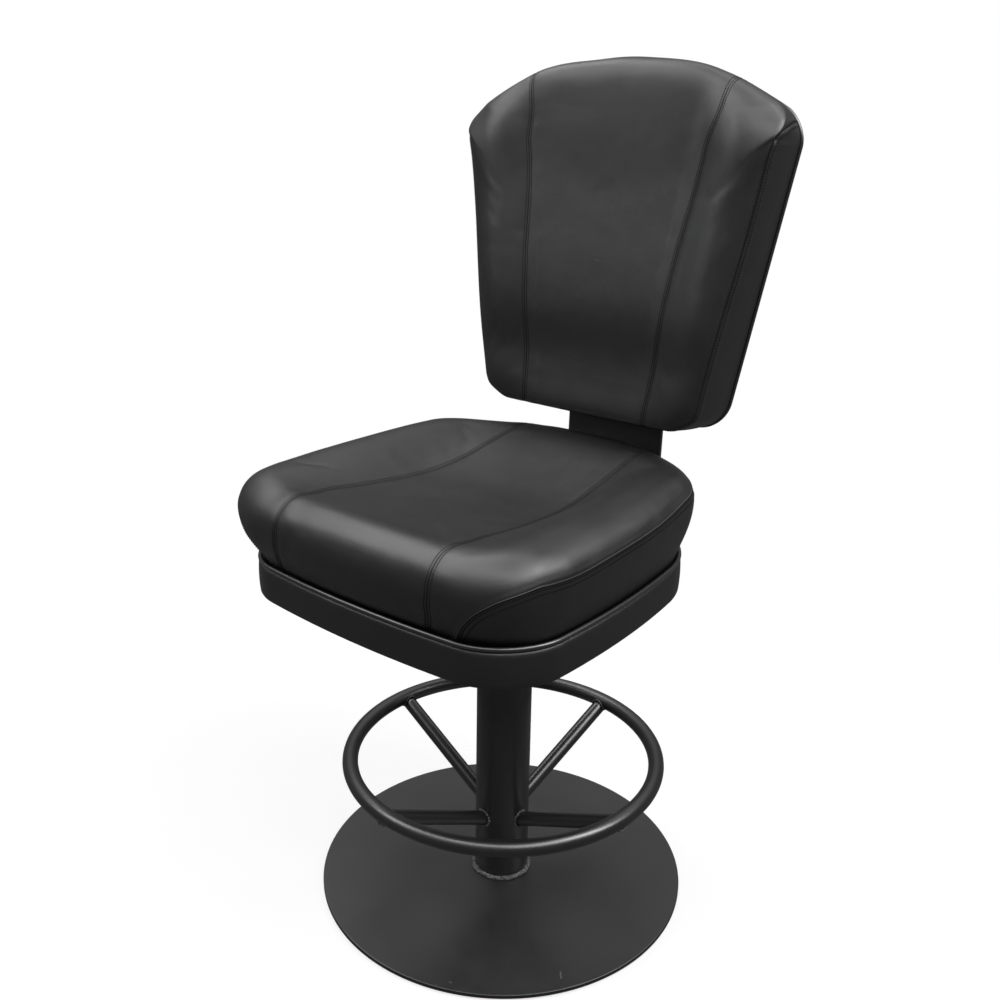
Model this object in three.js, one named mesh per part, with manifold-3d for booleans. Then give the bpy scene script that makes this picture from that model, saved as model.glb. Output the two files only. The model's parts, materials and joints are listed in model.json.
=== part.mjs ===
// Casino stool: a padded seat and back that swivel on a fixed steel column with a foot ring.
// Lengths are in millimetres. +Z is up, the sitter faces -Y, +X is the sitter's left hand,
// and the origin is on the floor, on the column's axis.

import * as THREE from "three";
import { mergeVertices } from "three/addons/utils/BufferGeometryUtils.js";
import Module from "manifold-3d";

const wasm = await Module();
wasm.setup();

// Clearances
const touchGap = 0.3; // between two pieces that meet
const runningGap = 0.5; // between two pieces that turn past each other
const overrun = 5; // how far a cutter runs past what it cuts

// Pedestal
const pad = { radius: 250, thick: 2, sides: 48 };
const base = { radius: 260, thick: 6, chamfer: 1.2, sides: 72 };
const column = { radius: 38.3, wall: 3, sides: 40 };
const footWeld = { width: 5.5, height: 5, sag: 0.8 };
const ring = { radius: 216, tube: 10.9, level: 194.7, around: 60, sides: 10 };
const spoke = {
  radius: 10,
  ringLevel: 191,
  columnLevel: 103,
  weldWidth: 3.5,
  weldThick: 3.5,
  sides: 12,
  count: 4,
  headingDegrees: -5.6,
};
const flange = { width: 150, corner: 14, thick: 6, bore: 25, sides: 24 };

// Swivel: two pressed plates, a ring of balls and a king pin
const seatBoardLevel = 472; // underside of the seat board above the floor
const swivel = { width: 160, corner: 16, sheet: 3, height: 23, pitch: 60 };
const race = {
  radius: 60,
  footHalf: 12,
  landHalf: 8,
  landRise: 6.5,
  channelHalf: 9,
  roofHalf: 4.6,
  clear: 0.9,
  sides: 32,
  grooveSides: 8,
};
const ball = { radius: 4, count: 12, around: 8, high: 4 };
const cage = { half: 6.5, thick: 1.6 };
const kingPin = { radius: 5, headRadius: 9, headThick: 6, nutRadius: 9.2, nutThick: 8, tail: 3, sides: 16 };
const washer = { radius: 12, thick: 1.6 };
const headRoom = { radius: 16, above: 1.5, sides: 16 }; // space for the king pin's head

// Fasteners
const bolt = { radius: 4, headRadius: 7.5, headThick: 5.3, nutThick: 6.5, tail: 2, sides: 12 };
const teeNut = { barrel: 5.6, flangeRadius: 9.5, flangeThick: 1.6, length: 12, sides: 16 };
const hexSides = 6;
const flatHead = { radius: 8, thick: 4 };

// Seat board, back bracket and back board
const seatBoard = { thick: 18 };
const bracket = {
  width: 161,
  thick: 6,
  insideBend: 12,
  bendSteps: 8,
  front: -80,
  reach: 240,
  corner: 14,
  cornerSteps: 5,
};
const backBoard = { thick: 12, inset: 16 };
const backBolts = { halfWidth: 50, low: 62, high: 190 };

// Seat plan: a trapezium with bowed sides, on which the band, the piping and the cushion are drawn
const seatPlan = {
  frontHalf: 228,
  rearHalf: 184,
  front: -264,
  rear: 206,
  frontBow: 17,
  sideBow: 23,
  rearBow: 2,
  frontRadius: 76,
  rearRadius: 150,
  edgeSteps: 7,
  cornerSteps: 6,
};
const band = { height: 43.2, thick: 14, corner: 3, crown: 1.2, lift: 1 };
const seatPiping = { radius: 3, inset: 2, sides: 6 };

// Seat cushion: the wall swells out over the piping, then rolls over into a dished top.
// reach is how far it stands out at its widest, at the height "swell", and roll is the width of its
// rounded shoulder. Heights are above the middle of the seat piping.
const cushionFront = { reach: 12.2, swell: 54.8, roll: 49.6 };
const cushionSide = { reach: 10.7, swell: 78, roll: 45.6 };
const cushionRear = { reach: -1.6, swell: 75.8, roll: 54.2 };
const cushionCorner = { frontReach: 10.3, rearReach: 5.7 };
const facingShares = {
  frontFrom: 0.45,
  frontRun: 0.5,
  rearFrom: 0.25,
  rearRun: 0.6,
  frontCorner: -0.7,
  frontSpread: 0.28,
  rearCorner: 0.6,
  rearSpread: 0.3,
};
const cushionFoot = { inset: 15, neckInset: 8.5, lapInset: 6 };
const wallFullness = 0.8; // a power: below 1 the wall swells out sooner above the piping
const cushionCentreY = -20;
const dish = {
  low: 76.5,
  lowY: -45,
  frontRise: 22,
  frontRun: 205,
  rearRise: 36.8,
  rearRun: 270,
  rim: 115.4,
  rimTilt: 4.7,
  rimSag: 3.2,
  rimRun: 250,
  flatHalf: 115,
  sideRun: 90,
};
const seatSeam = {
  frontHalf: 125,
  rearHalf: 104,
  rearY: 150,
  cut: 4.5,
  depth: 2.2,
  points: 7,
  sides: 4,
  steps: 9,
};

// Back: a taper drawn in a plane that leans back, in which "high" runs up the plane
// and "deep" runs forward out of it. foot is where that plane starts.
const back = { foot: { y: 249, z: 658.1 }, leanDegrees: 1.5 };
const backPlan = {
  footHalf: 168,
  topHalf: 237.7,
  height: 384.6,
  topBow: 74.2,
  footBow: 1.1,
  footRadius: 35.4,
  topRadius: 35,
  edgeSteps: 7,
  cornerSteps: 5,
};
const backPanel = { behind: 2, thick: 5.5, edge: 1.5 };
const backPiping = { radius: 2.5, reach: 8, seat: 4.2, sides: 6 };
const backCushion = {
  deepFoot: 103.5,
  taper: 18.5,
  taperFrom: 120,
  taperRun: 330,
  dishFoot: 10,
  dishTop: 17,
  dishRun: 34,
  sideFall: 15.4,
  sideRoll: 47.7,
  topFall: 32,
  topRoll: 58,
  topFromShare: 0.15,
  topRunShare: 0.6,
  middle: 211,
};
const backSeam = {
  footHalf: 98,
  topHalf: 143,
  low: 34,
  high: 425,
  cut: 4.5,
  depth: 2.2,
  points: 10,
  sides: 4,
  steps: 10,
};

// Finishes
const finish = (name, color, roughness, metalness) =>
  new THREE.MeshStandardMaterial({ name, color, roughness, metalness });
const blackPaint = finish("black_paint", 0x17181a, 0.5, 0.3);
const zinc = finish("zinc", 0xb9bdc2, 0.35, 1);
const steel = finish("bearing_steel", 0xcfd3d8, 0.2, 1);
const plywood = finish("plywood", 0xb08b5c, 0.8, 0);
const vinyl = finish("black_vinyl", 0x1c1c1f, 0.45, 0);
const welt = finish("black_welt", 0x242428, 0.35, 0);
const rubber = finish("rubber", 0x101010, 0.9, 0);

// Levels and places that follow from the sizes above
const lean = THREE.MathUtils.degToRad(back.leanDegrees);
const plateTop = pad.thick + base.thick;
const swivelTop = seatBoardLevel - bracket.thick;
const swivelBottom = swivelTop - swivel.height;
const columnTop = swivelBottom - flange.thick;
const ballLevel = swivelBottom + swivel.height / 2;
const seatBoardTop = seatBoardLevel + seatBoard.thick;
const bandBottom = seatBoardLevel + band.lift;
const bandTop = bandBottom + band.height;
const pipingLevel = bandTop + touchGap + seatPiping.radius;
const lapLevel = pipingLevel + seatPiping.radius + touchGap;
const boltHole = bolt.radius + touchGap;
const panelFront = backPanel.thick - backPanel.behind;
const bracketRear = panelFront + touchGap;
const bracketFront = bracketRear + bracket.thick;
const boardRear = bracketFront + touchGap;
const boardFront = boardRear + backBoard.thick;
const cushionRearFace = panelFront + touchGap;

// General helpers
const smooth = (t) => THREE.MathUtils.smoothstep(t, 0, 1);
const mix = (a, b, t) => a + (b - a) * t;
const quarterHandleShare = 0.5523; // a Bezier curve's handle, as a share of the radius it rounds
const closeTo = (value, centre, width) => Math.exp(-(((value - centre) / width) ** 2));
const bowAt = (bow, t) => 4 * bow * t * (1 - t); // a parabola: bow in the middle, nothing at the ends
const bowSlope = (bow, t) => 4 * bow * (1 - 2 * t);

function bare(geometry) {
  const copy = geometry.clone();
  copy.deleteAttribute("normal");
  copy.deleteAttribute("uv");
  return mergeVertices(copy);
}

function solid(geometry) {
  const merged = bare(geometry);
  const vertProperties = new Float32Array(merged.attributes.position.array);
  const triVerts = new Uint32Array(merged.index.array);
  return new wasm.Manifold(new wasm.Mesh({ numProp: 3, vertProperties, triVerts }));
}

function geometryOf(body) {
  const mesh = body.getMesh();
  const geometry = new THREE.BufferGeometry();
  geometry.setAttribute("position", new THREE.BufferAttribute(mesh.vertProperties, 3));
  geometry.setIndex(new THREE.BufferAttribute(mesh.triVerts, 1));
  geometry.computeVertexNormals();
  return geometry;
}

// A cylinder, or a frustum, that stands on the level "low" at (x, y).
function drum(radius, low, high, sides, x = 0, y = 0, topRadius = radius) {
  const geometry = new THREE.CylinderGeometry(topRadius, radius, high - low, sides);
  return geometry.rotateX(Math.PI / 2).translate(x, y, (low + high) / 2);
}

// A turned ring: profile points [radius, level] run counterclockwise and the ring closes on itself.
function turned(profile, sides) {
  const points = profile.map(([r, z]) => new THREE.Vector2(r, z));
  points.push(points[0].clone());
  return new THREE.LatheGeometry(points, sides).rotateX(Math.PI / 2);
}

function roundedSquare(width, corner) {
  const half = width / 2;
  const straight = half - corner;
  const shape = new THREE.Shape();
  shape.absarc(straight, -straight, corner, -Math.PI / 2, 0);
  shape.absarc(straight, straight, corner, 0, Math.PI / 2);
  shape.absarc(-straight, straight, corner, Math.PI / 2, Math.PI);
  shape.absarc(-straight, -straight, corner, Math.PI, Math.PI * 1.5);
  return shape;
}

const plateCornerSteps = 4;

function plateOf(shape, low, thick) {
  const geometry = new THREE.ExtrudeGeometry(shape, {
    depth: thick,
    bevelEnabled: false,
    curveSegments: plateCornerSteps,
  });
  return geometry.translate(0, 0, low);
}

// The four corners of a square bolt pattern.
const squarePattern = [1, 3, 5, 7].map((eighth) => {
  const turn = (eighth * Math.PI) / 4;
  return [Math.sign(Math.cos(turn)) * swivel.pitch, Math.sign(Math.sin(turn)) * swivel.pitch];
});

function drilled(body, places, radius, low, high) {
  let left = body;
  for (const [x, y] of places) {
    left = left.subtract(solid(drum(radius, low - overrun, high + overrun, bolt.sides, x, y)));
  }
  return left;
}

// The points of a plan with bowed edges and rounded corners, counterclockwise, with outward normals.
function planPlaces({ corners, bows, radii, edgeSteps, cornerSteps }) {
  const edge = (i, t) => {
    const from = corners[i];
    const along = corners[(i + 1) % corners.length].clone().sub(from);
    const out = new THREE.Vector2(along.y, -along.x).normalize();
    return {
      point: from.clone().addScaledVector(along, t).addScaledVector(out, bowAt(bows[i], t)),
      way: along.clone().addScaledVector(out, bowSlope(bows[i], t)).normalize(),
    };
  };
  const length = (i) => corners[i].distanceTo(corners[(i + 1) % corners.length]);
  const places = [];
  const keep = (point, way) => places.push({ point, normal: new THREE.Vector2(way.y, -way.x) });
  corners.forEach((corner, i) => {
    const next = (i + 1) % corners.length;
    const start = radii[i] / length(i);
    const end = 1 - radii[next] / length(i);
    for (let k = 0; k <= edgeSteps; k += 1) {
      const { point, way } = edge(i, mix(start, end, k / edgeSteps));
      keep(point, way);
    }
    const a = edge(i, end);
    const b = edge(next, radii[next] / length(next));
    const handle = quarterHandleShare * radii[next];
    const curve = new THREE.CubicBezierCurve(
      a.point,
      a.point.clone().addScaledVector(a.way, handle),
      b.point.clone().addScaledVector(b.way, -handle),
      b.point,
    );
    for (let k = 1; k < cornerSteps; k += 1) {
      keep(curve.getPoint(k / cornerSteps), curve.getTangent(k / cornerSteps));
    }
  });
  return places;
}

const outFrom = ({ point, normal }, offset) => point.clone().addScaledVector(normal, offset);

// Joins rings of equal length into one closed skin; the first and last close on a middle point,
// or, for a hoop, on each other.
function skin(rings, middles) {
  const count = rings[0].length;
  const points = rings.flat();
  const index = [];
  const last = middles ? rings.length - 1 : rings.length;
  for (let k = 0; k < last; k += 1) {
    for (let i = 0; i < count; i += 1) {
      const a = k * count + i;
      const b = k * count + ((i + 1) % count);
      const up = (((k + 1) % rings.length) - k) * count;
      index.push(a, b, b + up, a, b + up, a + up);
    }
  }
  if (middles) {
    const low = points.length;
    const high = low + 1;
    const top = (rings.length - 1) * count;
    points.push(...middles);
    for (let i = 0; i < count; i += 1) {
      const next = (i + 1) % count;
      index.push(low, next, i, high, top + i, top + next);
    }
  }
  const geometry = new THREE.BufferGeometry().setFromPoints(points);
  geometry.setIndex(index);
  geometry.computeVertexNormals();
  return geometry;
}

// A slab with the outline of a plan, moved in or out by an offset.
function planSlab(places, offset, low, thick) {
  const outline = places.map((place) => outFrom(place, offset));
  return plateOf(new THREE.Shape(outline), low, thick);
}

// A tube with the section of a few sides along a curve.
function tubeAlong(points, radius, sides, steps) {
  const section = new THREE.Shape();
  section.absarc(0, 0, radius, 0, Math.PI * 2);
  return new THREE.ExtrudeGeometry(section, {
    curveSegments: sides,
    steps,
    bevelEnabled: false,
    extrudePath: new THREE.CatmullRomCurve3(points),
  });
}

function piece(name, geometry, material) {
  const mesh = new THREE.Mesh(geometry, material);
  mesh.name = name;
  return mesh;
}

// Floor pad and base plate
function makePad() {
  return piece("floor_pad", drum(pad.radius, 0, pad.thick, pad.sides), rubber);
}

function makeBase() {
  const { radius, chamfer } = base;
  const points = [
    [0, pad.thick],
    [radius, pad.thick],
    [radius, plateTop - chamfer],
    [radius - chamfer, plateTop],
    [0, plateTop],
  ].map(([r, z]) => new THREE.Vector2(r, z));
  return piece("base_plate", new THREE.LatheGeometry(points, base.sides).rotateX(Math.PI / 2), blackPaint);
}

// Column with the weld round its foot
function makeColumn() {
  const { radius, wall, sides } = column;
  const profile = [
    [radius - wall, plateTop],
    [radius, plateTop],
    [radius, columnTop],
    [radius - wall, columnTop],
  ];
  return piece("column_tube", turned(profile, sides), blackPaint);
}

function makeFootWeld() {
  const inner = column.radius + touchGap;
  const { width, height, sag } = footWeld;
  const profile = [
    [inner, plateTop],
    [inner + width, plateTop],
    [inner + width / 2 + sag, plateTop + height / 2 + sag],
    [inner, plateTop + height],
  ];
  return piece("foot_weld", turned(profile, column.sides), blackPaint);
}

// Foot ring and its spokes. Each spoke is cut to the ring's tube and to the column, and carries
// the weld bead that follows the column round its end.
function makeRing() {
  const geometry = new THREE.TorusGeometry(ring.radius, ring.tube, ring.sides, ring.around);
  return piece("foot_ring", geometry.translate(0, 0, ring.level), blackPaint);
}

function makeSpoke(index) {
  const run = ring.radius;
  const fallPerRun = (spoke.ringLevel - spoke.columnLevel) / (ring.radius - column.radius);
  const axisLevel = spoke.ringLevel - fallPerRun * run;
  const slope = Math.atan(fallPerRun);
  const length = run / Math.cos(slope);
  const lay = (geometry) =>
    geometry
      .rotateZ(-Math.PI / 2)
      .translate(length / 2, 0, 0)
      .rotateY(-slope)
      .translate(0, 0, axisLevel)
      .rotateZ(THREE.MathUtils.degToRad(spoke.headingDegrees) + (index * 2 * Math.PI) / spoke.count);
  const rod = solid(lay(new THREE.CylinderGeometry(spoke.radius, spoke.radius, length, spoke.sides)));
  const collarRadius = spoke.radius + spoke.weldWidth;
  const collar = solid(lay(new THREE.CylinderGeometry(collarRadius, collarRadius, length, spoke.sides)));
  const around = (radius) => solid(drum(radius, 0, ring.level, column.sides));
  const tube = new THREE.TorusGeometry(ring.radius, ring.tube + touchGap, ring.sides, ring.around);
  const bead = collar.intersect(around(column.radius + spoke.weldThick));
  const cut = rod
    .add(bead)
    .subtract(around(column.radius + touchGap))
    .subtract(solid(tube.translate(0, 0, ring.level)));
  const largest = cut.decompose().sort((a, b) => b.volume() - a.volume())[0];
  return piece("foot_spoke_" + (index + 1), geometryOf(largest), blackPaint);
}

// Flange welded to the column's top, on which the swivel is bolted
function makeFlange() {
  const plate = solid(plateOf(roundedSquare(flange.width, flange.corner), columnTop, flange.thick));
  const bored = plate.subtract(
    solid(drum(flange.bore, columnTop - overrun, swivelBottom + overrun, flange.sides)),
  );
  return piece(
    "column_flange",
    geometryOf(drilled(bored, squarePattern, boltHole, columnTop, swivelBottom)),
    blackPaint,
  );
}

// A swivel plate as it lies on its flat side: a pressed ridge carries the ball groove, and the
// press leaves a channel under the ridge.
function swivelPlate() {
  const { sheet, width, corner, height } = swivel;
  const land = sheet + race.landRise;
  const near = race.radius;
  const ridge = [
    [near - race.footHalf, sheet / 2],
    [near + race.footHalf, sheet / 2],
    [near + race.landHalf, land],
    [near - race.landHalf, land],
  ];
  const grooveFloor = height / 2 - ball.radius - race.clear;
  const channel = [
    [near - race.channelHalf, -overrun],
    [near + race.channelHalf, -overrun],
    [near + race.channelHalf, 0],
    [near + race.roofHalf, grooveFloor - sheet],
    [near - race.roofHalf, grooveFloor - sheet],
    [near - race.channelHalf, 0],
  ];
  const groove = new THREE.TorusGeometry(near, ball.radius + race.clear, race.grooveSides, race.sides);
  let plate = solid(plateOf(roundedSquare(width, corner), 0, sheet))
    .add(solid(turned(ridge, race.sides)))
    .subtract(solid(turned(channel, race.sides)))
    .subtract(solid(groove.translate(0, 0, height / 2)))
    .subtract(solid(drum(kingPin.radius + runningGap, -overrun, sheet + overrun, kingPin.sides)));
  plate = drilled(plate, squarePattern, boltHole, 0, sheet);
  return geometryOf(plate);
}

function makeSwivelPlates() {
  const lower = piece("swivel_lower_plate", swivelPlate(), zinc);
  lower.position.z = swivelBottom;
  const upper = piece("swivel_upper_plate", swivelPlate(), zinc);
  upper.position.z = swivelTop;
  upper.rotation.x = Math.PI;
  return [lower, upper];
}

// The balls, held at equal steps by a flat cage, turn together as one ring.
function makeBallRing() {
  const profile = [
    [race.radius - cage.half, ballLevel - cage.thick / 2],
    [race.radius + cage.half, ballLevel - cage.thick / 2],
    [race.radius + cage.half, ballLevel + cage.thick / 2],
    [race.radius - cage.half, ballLevel + cage.thick / 2],
  ];
  let body = solid(turned(profile, race.sides));
  for (let k = 0; k < ball.count; k += 1) {
    const turn = (k * 2 * Math.PI) / ball.count;
    const sphere = new THREE.SphereGeometry(ball.radius, ball.around, ball.high);
    sphere.translate(race.radius * Math.cos(turn), race.radius * Math.sin(turn), ballLevel);
    body = body.add(solid(sphere));
  }
  return piece("swivel_ball_ring", geometryOf(body), steel);
}

// King pin: its nut clamps it to the lower plate, and its head runs on a washer over the upper plate.
function makeKingPin() {
  const { radius, headRadius, headThick, nutRadius, nutThick, tail, sides } = kingPin;
  const washerLow = swivelTop + touchGap;
  const headLow = washerLow + washer.thick;
  const end = swivelBottom - nutThick - tail;
  const shank = solid(drum(radius, end, headLow + headThick / 2, sides));
  const head = solid(drum(headRadius, headLow, headLow + headThick, sides));
  const hole = solid(drum(radius + touchGap, end, headLow + overrun, sides));
  const disc = solid(drum(washer.radius, washerLow, headLow, sides)).subtract(hole);
  const nut = solid(drum(nutRadius, swivelBottom - nutThick, swivelBottom, hexSides)).subtract(hole);
  return [
    piece("king_pin", geometryOf(shank.add(head)), zinc),
    piece("thrust_washer", geometryOf(disc), zinc),
    piece("king_pin_nut", geometryOf(nut), zinc),
  ];
}

// Bolts that join the column's flange to the swivel's lower plate
function makeFlangeBolts() {
  const seat = swivelBottom + swivel.sheet;
  const nutLow = columnTop - bolt.nutThick;
  return squarePattern.flatMap(([x, y], k) => {
    const end = nutLow - bolt.tail;
    const shank = solid(drum(bolt.radius, end, seat + bolt.headThick / 2, bolt.sides, x, y));
    const head = solid(drum(bolt.headRadius, seat, seat + bolt.headThick, hexSides, x, y));
    const hole = solid(drum(boltHole, end, columnTop + overrun, bolt.sides, x, y));
    const nut = solid(drum(bolt.headRadius, nutLow, columnTop, hexSides, x, y)).subtract(hole);
    return [
      piece("flange_bolt_" + (k + 1), geometryOf(shank.add(head)), zinc),
      piece("flange_nut_" + (k + 1), geometryOf(nut), zinc),
    ];
  });
}

// A tee nut with its flange at the top, as a cutter when it is grown by a clearance.
function teeNutSolid(x, y, top, grow) {
  const floor = top - teeNut.flangeThick;
  const barrelTop = floor + teeNut.flangeThick / 2;
  const barrel = drum(teeNut.barrel + grow, top - teeNut.length, barrelTop, bolt.sides, x, y);
  return solid(drum(teeNut.flangeRadius + grow, floor, top, teeNut.sides, x, y)).add(solid(barrel));
}

// Bolts that come up through the swivel, the bracket's foot and the seat board into tee nuts
function makeSeatBolts() {
  const seat = swivelTop - swivel.sheet;
  return squarePattern.flatMap(([x, y], k) => {
    const end = seatBoardTop - teeNut.flangeThick;
    const shank = solid(drum(bolt.radius, seat - bolt.headThick / 2, end, bolt.sides, x, y));
    const head = solid(drum(bolt.headRadius, seat - bolt.headThick, seat, hexSides, x, y));
    const hole = solid(drum(boltHole, seat, seatBoardTop + overrun, bolt.sides, x, y));
    return [
      piece("seat_bolt_" + (k + 1), geometryOf(shank.add(head)), zinc),
      piece("seat_tee_nut_" + (k + 1), geometryOf(teeNutSolid(x, y, seatBoardTop, 0).subtract(hole)), zinc),
    ];
  });
}

// Seat plan and what is drawn on it
const seatPlaces = planPlaces({
  corners: [
    new THREE.Vector2(-seatPlan.frontHalf, seatPlan.front),
    new THREE.Vector2(seatPlan.frontHalf, seatPlan.front),
    new THREE.Vector2(seatPlan.rearHalf, seatPlan.rear),
    new THREE.Vector2(-seatPlan.rearHalf, seatPlan.rear),
  ],
  bows: [seatPlan.frontBow, seatPlan.sideBow, seatPlan.rearBow, seatPlan.sideBow],
  radii: [seatPlan.frontRadius, seatPlan.frontRadius, seatPlan.rearRadius, seatPlan.rearRadius],
  edgeSteps: seatPlan.edgeSteps,
  cornerSteps: seatPlan.cornerSteps,
});

function makeSeatBoard() {
  let board = solid(planSlab(seatPlaces, -band.thick - touchGap, seatBoardLevel, seatBoard.thick));
  const roomTop = swivelTop + touchGap + washer.thick + kingPin.headThick + headRoom.above;
  board = board.subtract(solid(drum(headRoom.radius, seatBoardLevel - overrun, roomTop, headRoom.sides)));
  for (const [x, y] of squarePattern) {
    const through = solid(drum(boltHole, seatBoardLevel - overrun, seatBoardTop, bolt.sides, x, y));
    const counterbore = seatBoardTop - teeNut.flangeThick;
    const wideRadius = teeNut.flangeRadius + touchGap;
    const wide = drum(wideRadius, counterbore, seatBoardTop + overrun, teeNut.sides, x, y);
    const barrelLow = seatBoardTop - teeNut.length - touchGap;
    const deep = drum(teeNut.barrel + touchGap, barrelLow, seatBoardTop, bolt.sides, x, y);
    board = board.subtract(through).subtract(solid(wide)).subtract(solid(deep));
  }
  return piece("seat_board", geometryOf(board), plywood);
}

function makeBand() {
  const { thick, corner, crown, height } = band;
  const round = corner * (1 - Math.SQRT1_2);
  const profile = [
    [-thick, 0],
    [-corner, 0],
    [-round, round],
    [0, corner],
    [crown, height / 2],
    [0, height - corner],
    [-round, height - round],
    [-corner, height],
    [-thick, height],
  ];
  const rings = profile.map(([offset, up]) =>
    seatPlaces.map((place) => {
      const { x, y } = outFrom(place, offset);
      return new THREE.Vector3(x, y, bandBottom + up);
    }),
  );
  return piece("seat_band", skin(rings, null), vinyl);
}

// A bead is a round section carried round the plan; "at" places an offset and a rise.
function beadRings(places, radius, inset, sides, at) {
  const rings = [];
  for (let k = 0; k < sides; k += 1) {
    const turn = (k * 2 * Math.PI) / sides;
    const offset = radius * Math.cos(turn) - inset;
    rings.push(places.map((place) => at(outFrom(place, offset), radius * Math.sin(turn))));
  }
  return rings;
}

function makeSeatPiping() {
  const { radius, inset, sides } = seatPiping;
  const at = ({ x, y }, rise) => new THREE.Vector3(x, y, pipingLevel + rise);
  return piece("seat_piping", skin(beadRings(seatPlaces, radius, inset, sides, at), null), welt);
}

// Height of the cushion's dished top: a hollow that rises to the front and the rear,
// blended into a raised rim on both sides.
function dishLevel(x, y) {
  const past = y - dish.lowY;
  const front = dish.frontRise * (past / dish.frontRun) ** 2;
  const middle = dish.low + (past < 0 ? front : dish.rearRise * smooth(past / dish.rearRun));
  const along = y / dish.rimRun;
  const rim = dish.rim + dish.rimTilt * along - dish.rimSag * along ** 2;
  return pipingLevel + mix(middle, rim, smooth((Math.abs(x) - dish.flatHalf) / dish.sideRun));
}

// The cushion's section at one place of the plan; the front, sides and rear differ and run
// into each other with the direction that the wall faces.
function cushionSection({ normal }) {
  const facing = facingShares;
  const front = smooth((-normal.y - facing.frontFrom) / facing.frontRun);
  const rear = smooth((normal.y - facing.rearFrom) / facing.rearRun);
  const side = 1 - front - rear;
  const blend = (key) => front * cushionFront[key] + rear * cushionRear[key] + side * cushionSide[key];
  const corners =
    cushionCorner.frontReach * closeTo(normal.y, facing.frontCorner, facing.frontSpread) +
    cushionCorner.rearReach * closeTo(normal.y, facing.rearCorner, facing.rearSpread);
  return { reach: blend("reach") + corners, swell: blend("swell"), roll: blend("roll") };
}

// A point of the wall between the piping (turn 0) and the widest place (turn 90 degrees).
function wallPoint(place, turn) {
  const { reach, swell } = cushionSection(place);
  const offset = mix(-cushionFoot.lapInset, reach, Math.sin(turn) ** wallFullness);
  const { x, y } = outFrom(place, offset);
  return new THREE.Vector3(x, y, mix(lapLevel, pipingLevel + swell, 1 - Math.cos(turn)));
}

// A point of the shoulder between the widest place (turn 0) and the top (turn 90 degrees).
function rollPoint(place, turn) {
  const { reach, swell, roll } = cushionSection(place);
  const { x, y } = outFrom(place, reach - roll * (1 - Math.cos(turn)));
  return new THREE.Vector3(x, y, mix(pipingLevel + swell, dishLevel(x, y), Math.sin(turn)));
}

const wallShares = [0.3, 0.55, 0.8];
const rollShares = [0, 0.25, 0.5, 0.75, 1];
const inwardShares = [0.82, 0.6, 0.36, 0.14];

function seatSeamPoints(hand) {
  const t = (seatSeam.frontHalf + seatPlan.frontHalf) / (2 * seatPlan.frontHalf);
  const y = seatPlan.front - bowAt(seatPlan.frontBow, t);
  const edge = { point: new THREE.Vector2(hand * seatSeam.frontHalf, y) };
  edge.normal = new THREE.Vector2(0, -1);
  const low = wallPoint(edge, 0);
  const points = [new THREE.Vector3(low.x, low.y - seatSeam.cut, low.z)];
  for (const share of wallShares) points.push(wallPoint(edge, (share * Math.PI) / 2));
  for (const share of rollShares) points.push(rollPoint(edge, (share * Math.PI) / 2));
  const start = points.at(-1);
  for (let k = 1; k <= seatSeam.points; k += 1) {
    const share = k / seatSeam.points;
    const y = mix(start.y, seatSeam.rearY, share);
    const x = hand * mix(seatSeam.frontHalf, seatSeam.rearHalf, share);
    points.push(new THREE.Vector3(x, y, dishLevel(x, y)));
  }
  // The channel's tube lies half outside the skin, so it is lifted away from the cushion's middle.
  const middle = new THREE.Vector3(hand * seatSeam.frontHalf, cushionCentreY, seatBoardTop);
  const lift = seatSeam.cut - seatSeam.depth;
  return points.map((p) => p.clone().addScaledVector(p.clone().sub(middle).setX(0).normalize(), lift));
}

function makeSeatCushion() {
  const flat = (inset, z) =>
    seatPlaces.map((place) => {
      const { x, y } = outFrom(place, -inset);
      return new THREE.Vector3(x, y, z);
    });
  const rings = [
    flat(cushionFoot.inset, seatBoardTop + touchGap),
    flat(cushionFoot.inset, bandTop + touchGap),
    flat(cushionFoot.neckInset, pipingLevel),
  ];
  for (const share of wallShares) rings.push(seatPlaces.map((p) => wallPoint(p, (share * Math.PI) / 2)));
  for (const share of rollShares) rings.push(seatPlaces.map((p) => rollPoint(p, (share * Math.PI) / 2)));
  const rim = rings.at(-1);
  for (const share of inwardShares) {
    rings.push(
      rim.map((p) => {
        const x = p.x * share;
        const y = mix(cushionCentreY, p.y, share);
        return new THREE.Vector3(x, y, dishLevel(x, y));
      }),
    );
  }
  const middles = [
    new THREE.Vector3(0, cushionCentreY, seatBoardTop + touchGap),
    new THREE.Vector3(0, cushionCentreY, dishLevel(0, cushionCentreY)),
  ];
  let body = solid(skin(rings, middles));
  for (const hand of [-1, 1]) {
    const { cut, sides, steps } = seatSeam;
    body = body.subtract(solid(tubeAlong(seatSeamPoints(hand), cut, sides, steps)));
  }
  return piece("seat_cushion", geometryOf(body), vinyl);
}

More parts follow.
